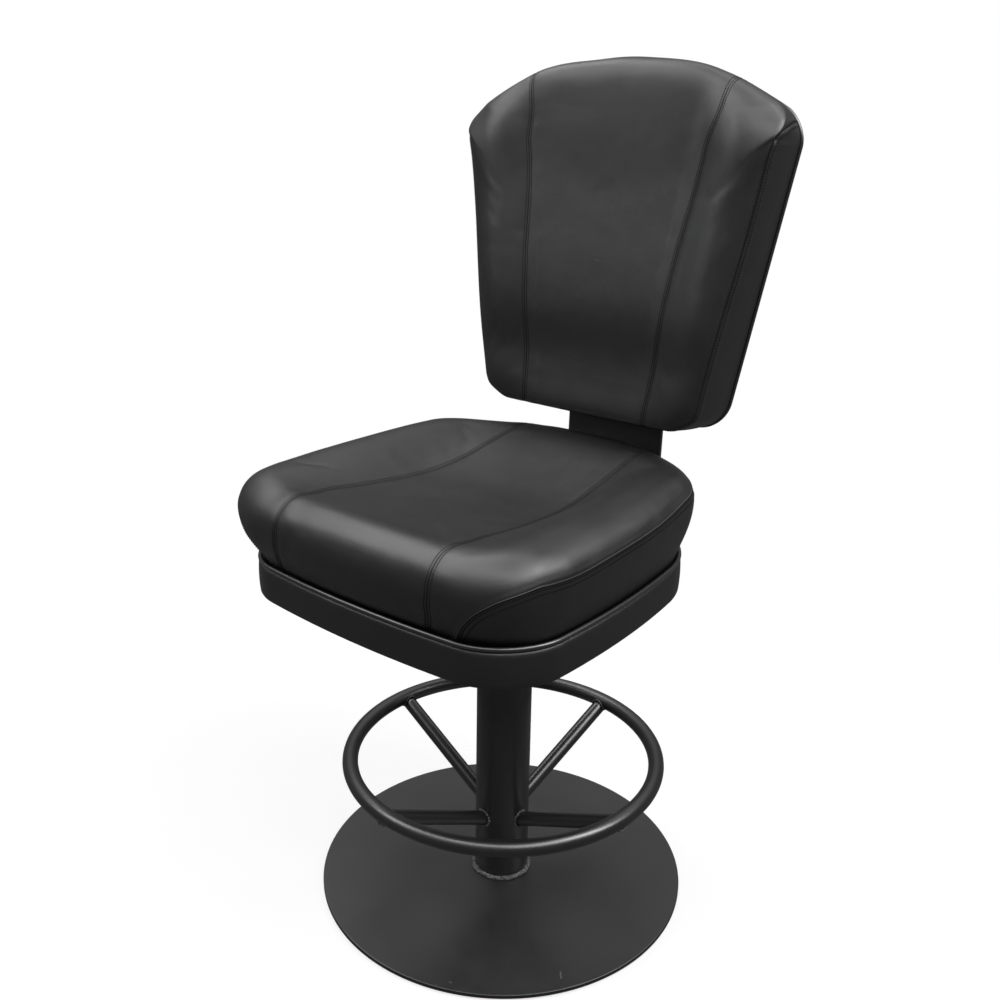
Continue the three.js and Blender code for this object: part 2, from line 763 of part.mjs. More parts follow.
// Back bracket: a flat bar bent up behind the seat, bolted under the seat board and to the back board
function makeBracket() {
  const { width, thick, insideBend, bendSteps, front, reach, corner, cornerSteps } = bracket;
  const outside = insideBend + thick;
  const bendLevel = swivelTop + outside;
  const rise = bendLevel - back.foot.z;
  const bendY = back.foot.y + (rise * Math.sin(lean) - bracketRear - outside) / Math.cos(lean);
  const along = (high, deep) => [
    back.foot.y + high * Math.sin(lean) - deep * Math.cos(lean),
    back.foot.z + high * Math.cos(lean) + deep * Math.sin(lean),
  ];
  const shape = new THREE.Shape();
  shape.moveTo(front, swivelTop);
  shape.absarc(bendY, bendLevel, outside, -Math.PI / 2, -lean);
  shape.lineTo(...along(reach, bracketRear));
  shape.lineTo(...along(reach, bracketFront));
  shape.absarc(bendY, bendLevel, insideBend, -lean, -Math.PI / 2, true);
  shape.lineTo(front, swivelTop + thick);
  shape.closePath();
  const bar = new THREE.ExtrudeGeometry(shape, {
    depth: width,
    bevelEnabled: false,
    curveSegments: bendSteps,
  });
  const axes = new THREE.Matrix4().makeBasis(
    new THREE.Vector3(0, 1, 0),
    new THREE.Vector3(0, 0, 1),
    new THREE.Vector3(1, 0, 0),
  );
  bar.applyMatrix4(axes).translate(-width / 2, 0, 0);
  let body = drilled(solid(bar), squarePattern, boltHole, swivelTop, seatBoardLevel);
  body = body.subtract(
    solid(drum(headRoom.radius, swivelTop - overrun, seatBoardLevel + overrun, headRoom.sides)),
  );
  for (const { x, high } of backBoltPlaces) {
    body = body.subtract(inBack(solid(backDrum(boltHole, bracketRear - overrun, boardRear, x, high))));
    body = body.subtract(inBack(solid(backHeadCone(x, high, touchGap))));
  }
  // The bar's two upper corners are rounded.
  const upper = new THREE.Shape();
  const half = width / 2;
  upper.moveTo(half + overrun, reach - corner);
  upper.lineTo(half, reach - corner);
  upper.absarc(half - corner, reach - corner, corner, 0, Math.PI / 2);
  upper.lineTo(half - corner, reach + overrun);
  upper.lineTo(half + overrun, reach + overrun);
  upper.closePath();
  const depth = thick + 2 * overrun;
  const nib = new THREE.ExtrudeGeometry(upper, { depth, bevelEnabled: false, curveSegments: cornerSteps });
  nib.rotateX(Math.PI / 2).translate(0, overrun - bracketRear, 0);
  const right = solid(nib);
  body = body.subtract(inBack(right)).subtract(inBack(right.mirror([1, 0, 0])));
  return piece("back_bracket", geometryOf(body), blackPaint);
}

// The leaning frame of the back: local x is across, local -y is deep, local z is high.
const backMatrix = new THREE.Matrix4()
  .makeRotationX(-lean)
  .premultiply(new THREE.Matrix4().makeTranslation(0, back.foot.y, back.foot.z));

const inBack = (body) => body.transform(backMatrix.elements);

const backBoltPlaces = [backBolts.low, backBolts.high].flatMap((high) =>
  [-1, 1].map((hand) => ({ x: hand * backBolts.halfWidth, high })),
);

// A drum whose axis runs deep, from one depth to another.
function backDrum(radius, from, to, x, high, frontRadius = radius) {
  const geometry = new THREE.CylinderGeometry(radius, frontRadius, to - from, bolt.sides);
  return geometry.translate(x, -(from + to) / 2, high);
}

function backHeadCone(x, high, grow) {
  const { radius, thick } = flatHead;
  const from = bracketRear - grow;
  return backDrum(radius + grow, from, bracketRear + thick + grow, x, high, bolt.radius + grow);
}

function makeBackBolts() {
  const nutFloor = boardFront - teeNut.flangeThick;
  return backBoltPlaces.flatMap(({ x, high }, k) => {
    const shank = solid(backDrum(bolt.radius, bracketRear + flatHead.thick / 2, nutFloor, x, high));
    const cone = solid(backHeadCone(x, high, 0));
    const hole = solid(backDrum(boltHole, bracketRear, boardFront + overrun, x, high));
    const barrelStart = boardRear + touchGap;
    const barrelEnd = nutFloor + teeNut.flangeThick / 2;
    const tee = solid(backDrum(teeNut.flangeRadius, nutFloor, boardFront, x, high))
      .add(solid(backDrum(teeNut.barrel, barrelStart, barrelEnd, x, high)))
      .subtract(hole);
    return [
      piece("back_bolt_" + (k + 1), geometryOf(shank.add(cone)), zinc),
      piece("back_tee_nut_" + (k + 1), geometryOf(tee), zinc),
    ];
  });
}

const backPlaces = planPlaces({
  corners: [
    new THREE.Vector2(-backPlan.footHalf, 0),
    new THREE.Vector2(backPlan.footHalf, 0),
    new THREE.Vector2(backPlan.topHalf, backPlan.height),
    new THREE.Vector2(-backPlan.topHalf, backPlan.height),
  ],
  bows: [backPlan.footBow, 0, backPlan.topBow, 0],
  radii: [backPlan.footRadius, backPlan.footRadius, backPlan.topRadius, backPlan.topRadius],
  edgeSteps: backPlan.edgeSteps,
  cornerSteps: backPlan.cornerSteps,
});

// A point of the back's own frame, from a plan point and a depth.
const deepPoint = ({ x, y }, deep) => new THREE.Vector3(x, -deep, y);

function makeBackBoard() {
  const slab = planSlab(backPlaces, -backBoard.inset, boardRear, backBoard.thick);
  let board = solid(slab.rotateX(Math.PI / 2));
  for (const { x, high } of backBoltPlaces) {
    const nutFloor = boardFront - teeNut.flangeThick - touchGap;
    const barrel = backDrum(teeNut.barrel + touchGap, boardRear - overrun, boardFront, x, high);
    const wide = backDrum(teeNut.flangeRadius + touchGap, nutFloor, boardFront + overrun, x, high);
    board = board.subtract(solid(barrel)).subtract(solid(wide));
  }
  return piece("back_board", geometryOf(board), plywood);
}

function makeBackPanel() {
  const edge = backPiping.reach - backPiping.radius;
  const rings = [
    [edge - backPanel.edge, -backPanel.behind],
    [edge, backPanel.edge - backPanel.behind],
    [edge - backPiping.seat, panelFront],
  ].map(([offset, deep]) => backPlaces.map((place) => deepPoint(outFrom(place, offset), deep)));
  const middle = { x: 0, y: backCushion.middle };
  const geometry = skin(rings, [deepPoint(middle, -backPanel.behind), deepPoint(middle, panelFront)]);
  return piece("back_panel", geometry, vinyl);
}

const backPipingDeep = panelFront + touchGap / 2;

function makeBackPiping() {
  const { radius, reach, sides } = backPiping;
  const at = (point, rise) => deepPoint(point, backPipingDeep + rise);
  const hoop = solid(skin(beadRings(backPlaces, radius, radius - reach, sides, at), null));
  // The bead stops on both sides of the bracket.
  const room = bracket.width + 2 * runningGap;
  const gapBlock = new THREE.BoxGeometry(room, room, room).translate(0, 0, -backPlan.footBow);
  return piece("back_piping", geometryOf(hoop.subtract(solid(gapBlock))), welt);
}

const backSeamHalf = (high) => mix(backSeam.footHalf, backSeam.topHalf, high / backSeam.high);

// Depth of the back's front face: thinner above the small of the back, and hollow between its wings.
function backDeep(x, high, hollow = 1) {
  const { deepFoot, taper, taperFrom, taperRun, dishFoot, dishTop, dishRun } = backCushion;
  const dishDeep = mix(dishFoot, dishTop, high / backPlan.height);
  const wing = smooth((Math.abs(x) - backSeamHalf(high)) / dishRun);
  return deepFoot - taper * smooth((high - taperFrom) / taperRun) - hollow * dishDeep * (1 - wing);
}

function backRollPoint(place, turn) {
  const top = smooth((place.normal.y - backCushion.topFromShare) / backCushion.topRunShare);
  const fall = mix(backCushion.sideFall, backCushion.topFall, top);
  const roll = mix(backCushion.sideRoll, backCushion.topRoll, top);
  const seam = backDeep(place.point.x, place.point.y, 0) - fall;
  const at = outFrom(place, -roll * (1 - Math.cos(turn)));
  const hollow = Math.sin(turn);
  return deepPoint(at, mix(seam, backDeep(at.x, at.y, hollow), Math.sin(turn)));
}

const backRollShares = [0, 0.25, 0.5, 0.75, 1];
const backInwardShares = [0.85, 0.68, 0.45, 0.2];

function backSeamPoints(hand) {
  const lift = backSeam.cut - backSeam.depth;
  const points = [];
  for (let k = 0; k <= backSeam.points; k += 1) {
    const high = mix(backSeam.low, backSeam.high, k / backSeam.points);
    const x = hand * backSeamHalf(high);
    points.push(deepPoint({ x, y: high }, backDeep(x, high) + lift));
  }
  return points;
}

function makeBackCushion() {
  const edge = backPiping.reach - backPiping.radius;
  const rims = [
    [edge - backPiping.seat, cushionRearFace],
    [edge, cushionRearFace + backPiping.seat],
  ];
  const rings = rims.map(([offset, deep]) => backPlaces.map((p) => deepPoint(outFrom(p, offset), deep)));
  rings.push(
    backPlaces.map((place) => {
      const seam = -backRollPoint(place, 0).y;
      return deepPoint(outFrom(place, edge / 2), mix(cushionRearFace + backPiping.seat, seam, 1 / 2));
    }),
  );
  for (const share of backRollShares) {
    rings.push(backPlaces.map((place) => backRollPoint(place, (share * Math.PI) / 2)));
  }
  const rim = rings.at(-1);
  for (const share of backInwardShares) {
    rings.push(
      rim.map((p) => {
        const at = { x: p.x * share, y: mix(backCushion.middle, p.z, share) };
        return deepPoint(at, backDeep(at.x, at.y));
      }),
    );
  }
  const middle = { x: 0, y: backCushion.middle };
  const middles = [deepPoint(middle, cushionRearFace), deepPoint(middle, backDeep(0, middle.y))];
  // The pocket holds the board and the bracket, and opens at the foot where the bracket comes in.
  const pocket = planSlab(
    backPlaces,
    touchGap - backBoard.inset,
    cushionRearFace - overrun,
    boardFront + touchGap - cushionRearFace + overrun,
  );
  const slotWidth = bracket.width + 2 * runningGap;
  const slotDeep = boardRear - cushionRearFace + overrun;
  const slot = new THREE.BoxGeometry(slotWidth, slotDeep, backCushion.middle);
  slot.translate(0, slotDeep / 2 - boardRear, 0);
  let body = solid(skin(rings, middles))
    .subtract(solid(pocket.rotateX(Math.PI / 2)))
    .subtract(solid(slot));
  for (const hand of [-1, 1]) {
    const { cut, sides, steps } = backSeam;
    body = body.subtract(solid(tubeAlong(backSeamPoints(hand), cut, sides, steps)));
  }
  return piece("back_cushion", geometryOf(body), vinyl);
}

// The stool: the pedestal stands still, and the seat group turns on the ball ring
const pedestal = new THREE.Group();
const [lowerPlate, upperPlate] = makeSwivelPlates();
pedestal.add(makePad(), makeBase(), makeColumn(), makeFootWeld(), makeRing());
for (let k = 0; k < spoke.count; k += 1) pedestal.add(makeSpoke(k));
pedestal.add(makeFlange(), lowerPlate, ...makeFlangeBolts(), ...makeKingPin());

const backrest = new THREE.Group();
backrest.position.set(0, back.foot.y, back.foot.z);
backrest.rotation.x = -lean;
backrest.add(makeBackPanel(), makeBackPiping(), makeBackBoard(), ...makeBackBolts(), makeBackCushion());

const seat = new THREE.Group();
seat.add(upperPlate, ...makeSeatBolts(), makeSeatBoard(), makeBand(), makeSeatPiping());
seat.add(makeSeatCushion(), makeBracket(), backrest);

const stool = new THREE.Group();
stool.name = "casino_stool";
stool.add(pedestal, makeBallRing(), seat);

export default stool;
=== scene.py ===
"""Casino stool: smooth upholstery, seams, stitches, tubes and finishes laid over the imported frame."""

import json
import math

import bpy
import numpy as np
from bpy.props import FloatProperty, FloatVectorProperty, PointerProperty
from mathutils import Matrix, Vector

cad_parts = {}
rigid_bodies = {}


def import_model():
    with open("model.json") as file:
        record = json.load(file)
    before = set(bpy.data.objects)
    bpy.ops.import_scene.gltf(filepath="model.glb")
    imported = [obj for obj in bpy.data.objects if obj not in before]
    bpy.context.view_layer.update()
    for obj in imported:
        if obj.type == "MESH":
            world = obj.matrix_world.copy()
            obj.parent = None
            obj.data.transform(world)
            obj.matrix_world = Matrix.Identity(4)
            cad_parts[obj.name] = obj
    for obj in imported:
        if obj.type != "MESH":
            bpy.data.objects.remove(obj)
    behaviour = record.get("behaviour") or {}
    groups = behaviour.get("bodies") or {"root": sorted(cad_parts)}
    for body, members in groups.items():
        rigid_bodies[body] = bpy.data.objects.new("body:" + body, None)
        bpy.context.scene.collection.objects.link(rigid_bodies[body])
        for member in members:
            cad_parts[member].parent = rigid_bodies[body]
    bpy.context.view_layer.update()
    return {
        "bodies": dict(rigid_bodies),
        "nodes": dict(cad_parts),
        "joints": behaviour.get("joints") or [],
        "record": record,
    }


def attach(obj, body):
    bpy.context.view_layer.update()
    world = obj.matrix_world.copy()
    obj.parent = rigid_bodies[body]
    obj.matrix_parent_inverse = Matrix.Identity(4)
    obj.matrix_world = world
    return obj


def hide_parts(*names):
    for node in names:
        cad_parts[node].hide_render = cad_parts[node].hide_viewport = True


bl_info = {
    "name": "Casino Stool",
    "version": (1, 0, 0),
    "blender": (4, 5, 0),
    "location": "3D View > Sidebar > Stool",
    "description": "Builds a padded swivel stool and a plain studio round it",
    "category": "Add Mesh",
}

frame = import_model()

MM = 0.001  # a millimetre in metres
QUARTER_HANDLE = 0.5523  # a Bezier curve's handle, as a share of the radius that it rounds

# Seat plan in millimetres: a trapezium with bowed sides and rounded corners
SEAT_CORNERS = np.array([(-228, -264), (228, -264), (184, 206), (-184, 206)], float)
SEAT_BOWS = (17, 23, 2, 23)
SEAT_RADII = (76, 76, 150, 150)
SEAT_FLOOR = 490.3
BAND_BOTTOM = 473.0
BAND_HEIGHT = 43.2
PIPING_LEVEL = 519.5
LAP_LEVEL = 522.8
CUSHION_CENTRE = (0.0, -20.0)
# How far in from the plan and how high the cushion's three lowest rows lie, under the piping
SEAT_FOOT = ((15, SEAT_FLOOR), (15, 516.5), (8.5, PIPING_LEVEL))
SEAT_STITCH_ROWS = (-3.0, -8.5)
# The wall where it faces the front, the sides and the rear: how far it stands out, how high it is
# widest and how wide its shoulder is
SEAT_REACH, SEAT_SWELL, SEAT_ROLL = (12.2, 10.7, -1.6), (54.8, 78, 75.8), (49.6, 45.6, 54.2)
# The top over the piping: its lowest line across, then the rise and the run from there to each end
DISH_LINE, DISH_LOW = -45.0, 76.5
DISH_FRONT, DISH_REAR = (22.0, 205.0), (38.0, 240.0)
RIM_LEVEL, RIM_INNER, RIM_WIDTH = 115.4, 102.0, 104.0
# Places on each edge and on the corner after it
SEAT_PLACES = ((136, 62), (106, 104), (40, 104), (106, 62))

# Back plan, drawn in a plane that leans back: x is across and h runs up the plane
BACK_CORNERS = np.array([(-168, 0), (168, 0), (237.7, 384.6), (-237.7, 384.6)], float)
BACK_BOWS = (1.1, 0, 74.2, 0)
BACK_RADII = (35.4, 35.4, 25, 25)
BACK_PLACES = ((128, 40), (146, 48), (172, 48), (146, 40))
BACK_FACE_CORNERS = np.array([(-128, 47), (128, 47), (188, 356), (-188, 356)], float)
BACK_FACE_BOWS = (1.0, 0, 46, 0)
BACK_FACE_RADII = (44, 44, 56, 56)
BACK_FOOT = (249.0, 658.1)
BACK_LEAN = math.radians(1.5)
BACK_MIDDLE = 211.0
BACK_HEIGHT = 384.6
BACK_REAR = 3.8  # depth at which the cushion's rear rim and the bracket's rear face lie
BACK_THICK, BACK_TAPER = 103.5, 18.5  # depth of the face low down, and how much less it is high up
BACK_HOLLOW = (12.0, 21.0)  # how deep the face is hollow between its wings, at the foot and at the top
BACK_STITCH_ROWS = (2.5, -5.5)
SIDES_END = 200.0  # height under which the back's long seams stay on its face

# Rows of a cushion's skin are numbered -1 at its rim, 0 at its widest place and 1 at its shoulder
HELD_ROWS = -0.97  # the rows under this one are held by the board
INNER_ROWS = 120
INNER_STEP = 0.02  # what the number grows by at each row past the shoulder
FAR = 30.0  # millimetres from a seam past which the distance no longer matters
HELD = 5.0  # millimetres beside a seam that the cloth run holds still

# Cloth run: one row and place in so many is taken, for so many frames
CLOTH_STEP, CLOTH_FRAMES = 5, 20
CLOTH_PRESSURE, CLOTH_SHRINK = 4.0, -0.004
SEAT_CAP, BACK_CAP = 0.6, 0.45  # the most that a place may move, in millimetres

STITCH_LENGTH, STITCH_THICK = 2.2, 0.52

# Heights of the pedestal
PAD_TOP, DISC_TOP, COLUMN_TOP = 2.0, 8.0, 436.9
COLUMN_FOOT = 8.05
RING_LEVEL = 194.7
SPOKE_OUTER, SPOKE_INNER = 191.0, 103.0  # of a spoke's axis at the ring's axis and at the column's face
SPOKE_HEADING = math.radians(-5.6)
WELD_REACH = 0.9  # how far out of a spoke's side its weld runs

MARK = (0.16, 0.16, 0.16)  # colour of a scratch or a scuff


# Whole-array helpers


def smooth(t):
    """3t^2 - 2t^3 of t held between 0 and 1."""
    t = np.clip(t, 0, 1)
    return t * t * (3 - 2 * t)


def mix(a, b, t):
    """a at t = 0, b at t = 1, in a straight line."""
    return a + (b - a) * t


def bell(value, centre, width):
    """e to the minus square of the distance from the centre in widths."""
    return np.exp(-(((value - centre) / width) ** 2))


def unit(vectors):
    """Each vector over its own length."""
    return vectors / np.maximum(np.linalg.norm(vectors, axis=-1, keepdims=True), 1e-12)


def circle(count):
    """Equal turns round a whole circle."""
    return np.linspace(0, 2 * math.pi, count, endpoint=False)


def plan(corners, bows, radii, counts):
    """Closed outline as (points, outward normals). Edge i is its chord plus its outward normal times
    4 * bow * t * (1 - t), cut back by the corner radii; a corner is a cubic curve that leaves both
    edges along their own directions. counts holds the places on each edge and on the corner after
    it, so the same place of two outlines lies on the same edge or corner of both."""
    ahead = np.roll(corners, -1, axis=0)
    chords = ahead - corners
    lengths = np.linalg.norm(chords, axis=1)
    outward = np.stack([chords[:, 1], -chords[:, 0]], 1) / lengths[:, None]

    def edge(i, t):
        t = np.atleast_1d(t)[:, None]
        point = corners[i] + chords[i] * t + outward[i] * 4 * bows[i] * t * (1 - t)
        way = chords[i] + outward[i] * 4 * bows[i] * (1 - 2 * t)
        return point, unit(way)

    parts = []
    for i, (straight, curved) in enumerate(counts):
        n = (i + 1) % 4
        share = np.linspace(radii[i] / lengths[i], 1 - radii[n] / lengths[i], straight, endpoint=False)
        parts.append(edge(i, share)[0])
        (a, away), (b, onward) = edge(i, 1 - radii[n] / lengths[i]), edge(n, radii[n] / lengths[n])
        handle = QUARTER_HANDLE * radii[n]
        t = np.linspace(0, 1, curved, endpoint=False)[:, None]
        c, d = a + away * handle, b - onward * handle
        parts.append(a * (1 - t) ** 3 + 3 * c * t * (1 - t) ** 2 + 3 * d * t**2 * (1 - t) + b * t**3)
    points = np.concatenate(parts)
    way = unit(np.roll(points, -1, axis=0) - np.roll(points, 1, axis=0))
    return points, np.stack([way[:, 1], -way[:, 0]], 1)


def lift(ring, deep):
    """Plan places and one height for each as points in space."""
    return np.concatenate([ring, np.broadcast_to(np.asarray(deep, float), ring.shape[:1])[:, None]], 1)


def closed_in(rim, centre, depth):
    """Rows from a rim in to its centre, each as deep as its own places say."""
    spots = [mix(np.array(centre), rim, share) for share in np.linspace(1, 0, INNER_ROWS + 2)[1:-1]]
    return [lift(spot, depth(spot[:, 0], spot[:, 1])) for spot in spots]


def bead_round(ring, normals, radius, out, level, sides):
    """Closed rows of a round bead that runs beside a plan outline, so far out and so high."""
    turns = circle(sides)
    return np.stack(
        [lift(ring + normals * (out + radius * math.cos(a)), level + radius * math.sin(a)) for a in turns]
    )


def open_run(path, kept):
    """The kept places of a closed row as one open run, from the first place after the gap."""
    start = int(np.argmax(~kept & np.roll(kept, -1))) + 1
    return np.roll(path, -start, axis=0)[: int(kept.sum())]


def grid_normals(grid):
    """Outward unit normals of a grid of closed rows, from the steps along and across the rows."""
    along = np.roll(grid, -1, axis=1) - np.roll(grid, 1, axis=1)
    return unit(np.cross(along, np.gradient(grid, axis=0)))


def from_back(points):
    """Points (x, h, deep) of the back's leaning plane in the stool's own axes."""
    x, high, deep = np.moveaxis(np.asarray(points, float), -1, 0)
    s, c = math.sin(BACK_LEAN), math.cos(BACK_LEAN)
    return np.stack([x, BACK_FOOT[0] + high * s - deep * c, BACK_FOOT[1] + high * c + deep * s], -1)


# Meshes


def put_mesh(name, points, faces, fields=None):
    """One object at the origin from points in millimetres and faces of one size."""
    mesh = bpy.data.meshes.new(name)
    faces = [np.asarray(f, np.int32) for f in (faces if isinstance(faces, list) else [faces])]
    loops = np.concatenate([f.ravel() for f in faces])
    sizes = np.concatenate([np.full(len(f), f.shape[1], np.int32) for f in faces])
    mesh.vertices.add(len(points))
    mesh.vertices.foreach_set("co", (np.asarray(points) * MM).astype(np.float32).ravel())
    mesh.loops.add(len(loops))
    mesh.loops.foreach_set("vertex_index", loops)
    mesh.polygons.add(len(sizes))
    mesh.polygons.foreach_set("loop_start", np.concatenate([[0], np.cumsum(sizes)[:-1]]).astype(np.int32))
    mesh.polygons.foreach_set("use_smooth", np.full(len(sizes), True))
    mesh.update(calc_edges=True)
    mesh.validate()
    for key, values in (fields or {}).items():
        mesh.attributes.new(key, "FLOAT", "POINT").data.foreach_set("value", np.asarray(values, np.float32))
    made = bpy.data.objects.new(name, mesh)
    bpy.context.scene.collection.objects.link(made)
    return made


def strips(low, high, count):
    """Faces of four between closed rows of so many places, from the first place of each row."""
    here = np.arange(count)
    nxt = (here + 1) % count
    return np.stack([low + here, low + nxt, high + nxt, high + here], -1).reshape(-1, 4)


def skin(name, grid, hoop=False, middles=None, fields=None):
    """Object from a grid of closed rows (rows, places, xyz). A hoop joins the last row to the first;
    otherwise each end closes on a middle point."""
    rows, count = grid.shape[:2]
    points = grid.reshape(-1, 3)
    here = np.arange(count)
    nxt = (here + 1) % count
    low = np.arange(rows if hoop else rows - 1)[:, None] * count
    high = (np.arange(1, rows + 1 if hoop else rows)[:, None] % rows) * count
    faces = [strips(low, high, count)]
    values = {k: np.asarray(v).reshape(-1) for k, v in (fields or {}).items()}
    if not hoop:
        ends = np.stack([grid[0].mean(0), grid[-1].mean(0)]) if middles is None else np.asarray(middles)
        last = (rows - 1) * count
        foot, top = len(points), len(points) + 1
        points = np.concatenate([points, ends])
        faces.append(np.stack([nxt, here, np.full(count, foot)], -1))
        faces.append(np.stack([last + here, last + nxt, np.full(count, top)], -1))
        values = {k: np.concatenate([v, v[:1], v[-1:]]) for k, v in values.items()}
    return put_mesh(name, points, faces, values)


def settled(grid, held, middles, cap):
    """The skin after its filling has pushed it out: a coarse copy runs as cloth with pressure inside
    and its held places pinned, and its movement, at most cap millimetres, is spread back over the
    fine grid by bell-shaped weights."""
    step, scene = CLOTH_STEP, bpy.context.scene
    rows, count = np.arange(grid.shape[0]), np.arange(grid.shape[1])
    picked, places = rows[::step], count[::step]
    coarse = grid[::step, ::step]
    piece = skin("settling", coarse, middles=middles)
    pins = np.concatenate([np.flatnonzero(held[::step, ::step]), [coarse[..., 0].size]])
    piece.vertex_groups.new(name="held").add(pins.tolist(), 1.0, "REPLACE")
    cloth = piece.modifiers.new("settle", "CLOTH")
    cloth.settings.vertex_group_mass = "held"
    cloth.settings.use_pressure = True
    cloth.settings.uniform_pressure_force = CLOTH_PRESSURE
    cloth.settings.shrink_min = CLOTH_SHRINK
    cloth.settings.effector_weights.gravity = 0.0
    cloth.point_cache.frame_end = CLOTH_FRAMES
    for frame in range(1, CLOTH_FRAMES + 1):
        scene.frame_set(frame)
    swollen = piece.evaluated_get(bpy.context.evaluated_depsgraph_get()).to_mesh()
    places_now = np.empty(len(swollen.vertices) * 3, np.float32)
    swollen.vertices.foreach_get("co", places_now)
    moved = places_now.reshape(-1, 3)[: coarse[..., 0].size].reshape(coarse.shape) / MM - coarse
    size = np.maximum(np.linalg.norm(moved, axis=-1, keepdims=True), 1e-9)
    moved = moved * cap * np.tanh(size / cap) / size
    bpy.data.objects.remove(piece)
    scene.frame_set(1)
    down = bell(rows[:, None] - picked, 0, step)
    gap = np.abs(count[:, None] - places)
    along = bell(np.minimum(gap, len(count) - gap), 0, step)
    down, along = (w / w.sum(1, keepdims=True) for w in (down, along))
    return grid + np.einsum("rp,pcx,fc->rfx", down, moved, along)


def turned(name, profile, count):
    """Lathe work: a profile (radius, height) from the foot up, turned round the column's axis."""
    profile = np.asarray(profile, float)
    ring = np.stack([np.cos(circle(count)), np.sin(circle(count))], -1)
    heights = np.broadcast_to(profile[:, None, 1:], (len(profile), count, 1))
    return skin(name, np.concatenate([profile[:, None, :1] * ring[None], heights], -1))


def finish_piece(piece, body, slot, finish, *nodes):
    """Rides the piece on its body, hides the nodes it stands for, and paints it. Its slot is not used."""
    piece.data.materials.append(finish_named(finish))
    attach(piece, body)
    if nodes:
        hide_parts(*nodes)


# Stitches


def along_path(path, pitch):
    """Centres and directions at equal steps of one pitch along a path."""
    run = np.concatenate([[0], np.cumsum(np.linalg.norm(np.diff(path, axis=0), axis=1))])
    spots = (np.arange(int(run[-1] / pitch)) + 0.5) * pitch
    at = lambda s: np.stack([np.interp(s, run, path[:, k]) for k in range(3)], 1)
    return at(spots), unit(at(spots + pitch / 3) - at(spots - pitch / 3))


def laid_on(points, near, normals):
    """Each point dropped on the plane of the nearest skin point, with that skin point's normal."""
    found = np.concatenate(
        [
            np.argmin(((part[:, None] - near[None]) ** 2).sum(-1), axis=1)
            for part in np.array_split(points, max(1, len(points) // 100))
        ]
    )
    up = normals[found]
    return points - ((points - near[found]) * up).sum(-1, keepdims=True) * up, up


def stitch_row(path, offset, grid, reach, pitch):
    """Stitches beside a path: its points moved sideways by the offset and dropped on the skin."""
    points, ways = along_path(path, pitch)
    normals = grid_normals(grid)
    flat, ups = grid.reshape(-1, 3), normals.reshape(-1, 3)
    close = np.abs(reach).reshape(-1) < abs(offset) + 6
    near, up = flat[close], ups[close]
    _, here = laid_on(points, near, up)
    centres, here = laid_on(points + np.cross(here, ways) * offset, near, up)
    ways = unit(ways - (ways * here).sum(-1, keepdims=True) * here)
    return centres, ways, here


def stitches(name, rows):
    """Every stitch is a short six-sided rod that arches out of the skin and dips in at both ends."""
    centres, ways, ups = (np.concatenate(part) for part in zip(*rows))
    sides = np.cross(ups, ways)
    share = np.array([-1, -0.72, 0, 0.72, 1])
    size = np.array([0.35, 0.85, 1, 0.85, 0.35]) * STITCH_THICK
    rise = np.array([-0.6, 0.1, 0.3, 0.1, -0.6]) * STITCH_THICK * 1.6
    here = np.arange(6)
    turn = here * math.pi / 3
    a = (share * STITCH_LENGTH / 2)[:, None] * np.ones(len(here))
    b = size[:, None] * np.cos(turn)
    c = rise[:, None] + size[:, None] * np.sin(turn)
    local = np.stack([a, b, c], -1).reshape(1, -1, 3)
    axes = np.stack([ways, sides, ups], 1)
    points = centres[:, None] + local @ axes
    first = np.arange(len(share))[:, None] * len(here)
    quads = strips(first[:-1], first[1:], len(here))
    caps = np.stack([here[::-1], here + first[-1]])
    base = (np.arange(len(centres)) * a.size)[:, None, None]
    faces = [(quads + base).reshape(-1, 4), (caps + base).reshape(-1, 6)]
    return put_mesh(name, points.reshape(-1, 3), faces)


# Shader maths


class Wire:
    """One socket of a shader tree; an expression on wires adds the nodes that work it out."""

    def __init__(self, shader, socket):
        self.shader, self.socket = shader, socket

    def maths(self, operation, *others):
        """What an operation makes of this wire and the others."""
        vector = any(isinstance(w, Wire) and w.socket.type == "VECTOR" for w in (self, *others))
        kind = "ShaderNodeVectorMath" if vector else "ShaderNodeMath"
        if vector:
            others = [(o,) * 3 if isinstance(o, (int, float)) else o for o in others]
        return self.shader.node(kind, {"operation": operation}, dict(enumerate([self, *others])))

    def reflected(self, operation, other):
        """What an operation makes of a plain value and this wire, in that order."""
        vector = self.socket.type == "VECTOR"
        kind = "ShaderNodeVectorMath" if vector else "ShaderNodeMath"
        first = (other,) * 3 if vector and isinstance(other, (int, float)) else other
        return self.shader.node(kind, {"operation": operation}, {0: first, 1: self})

    def __add__(self, other):
        return self.maths("ADD", other)

    def __radd__(self, other):
        return self.reflected("ADD", other)

    def __sub__(self, other):
        return self.maths("SUBTRACT", other)

    def __rsub__(self, other):
        return self.reflected("SUBTRACT", other)

    def __mul__(self, other):
        return self.maths("MULTIPLY", other)

    def __rmul__(self, other):
        return self.reflected("MULTIPLY", other)

    def __truediv__(self, other):
        return self.maths("DIVIDE", other)

    def __rtruediv__(self, other):
        return self.reflected("DIVIDE", other)

    def __neg__(self):
        return self * -1.0

    def least(self, other):
        return self.maths("MINIMUM", other)

    def most(self, other):
        return self.maths("MAXIMUM", other)

    def bell(self, centre, width):
        """e to the minus square of the distance from the centre in widths."""
        scaled = (self - centre) / width
        return (-(scaled * scaled)).maths("EXPONENT")

    def between(self, low, high, start=0.0, end=1.0):
        """A soft step from start to end as the value goes from low to high."""
        settings = {"interpolation_type": "SMOOTHSTEP", "clamp": True}
        values = {"Value": self, "From Min": low, "From Max": high, "To Min": start, "To Max": end}
        return self.shader.node("ShaderNodeMapRange", settings, values)


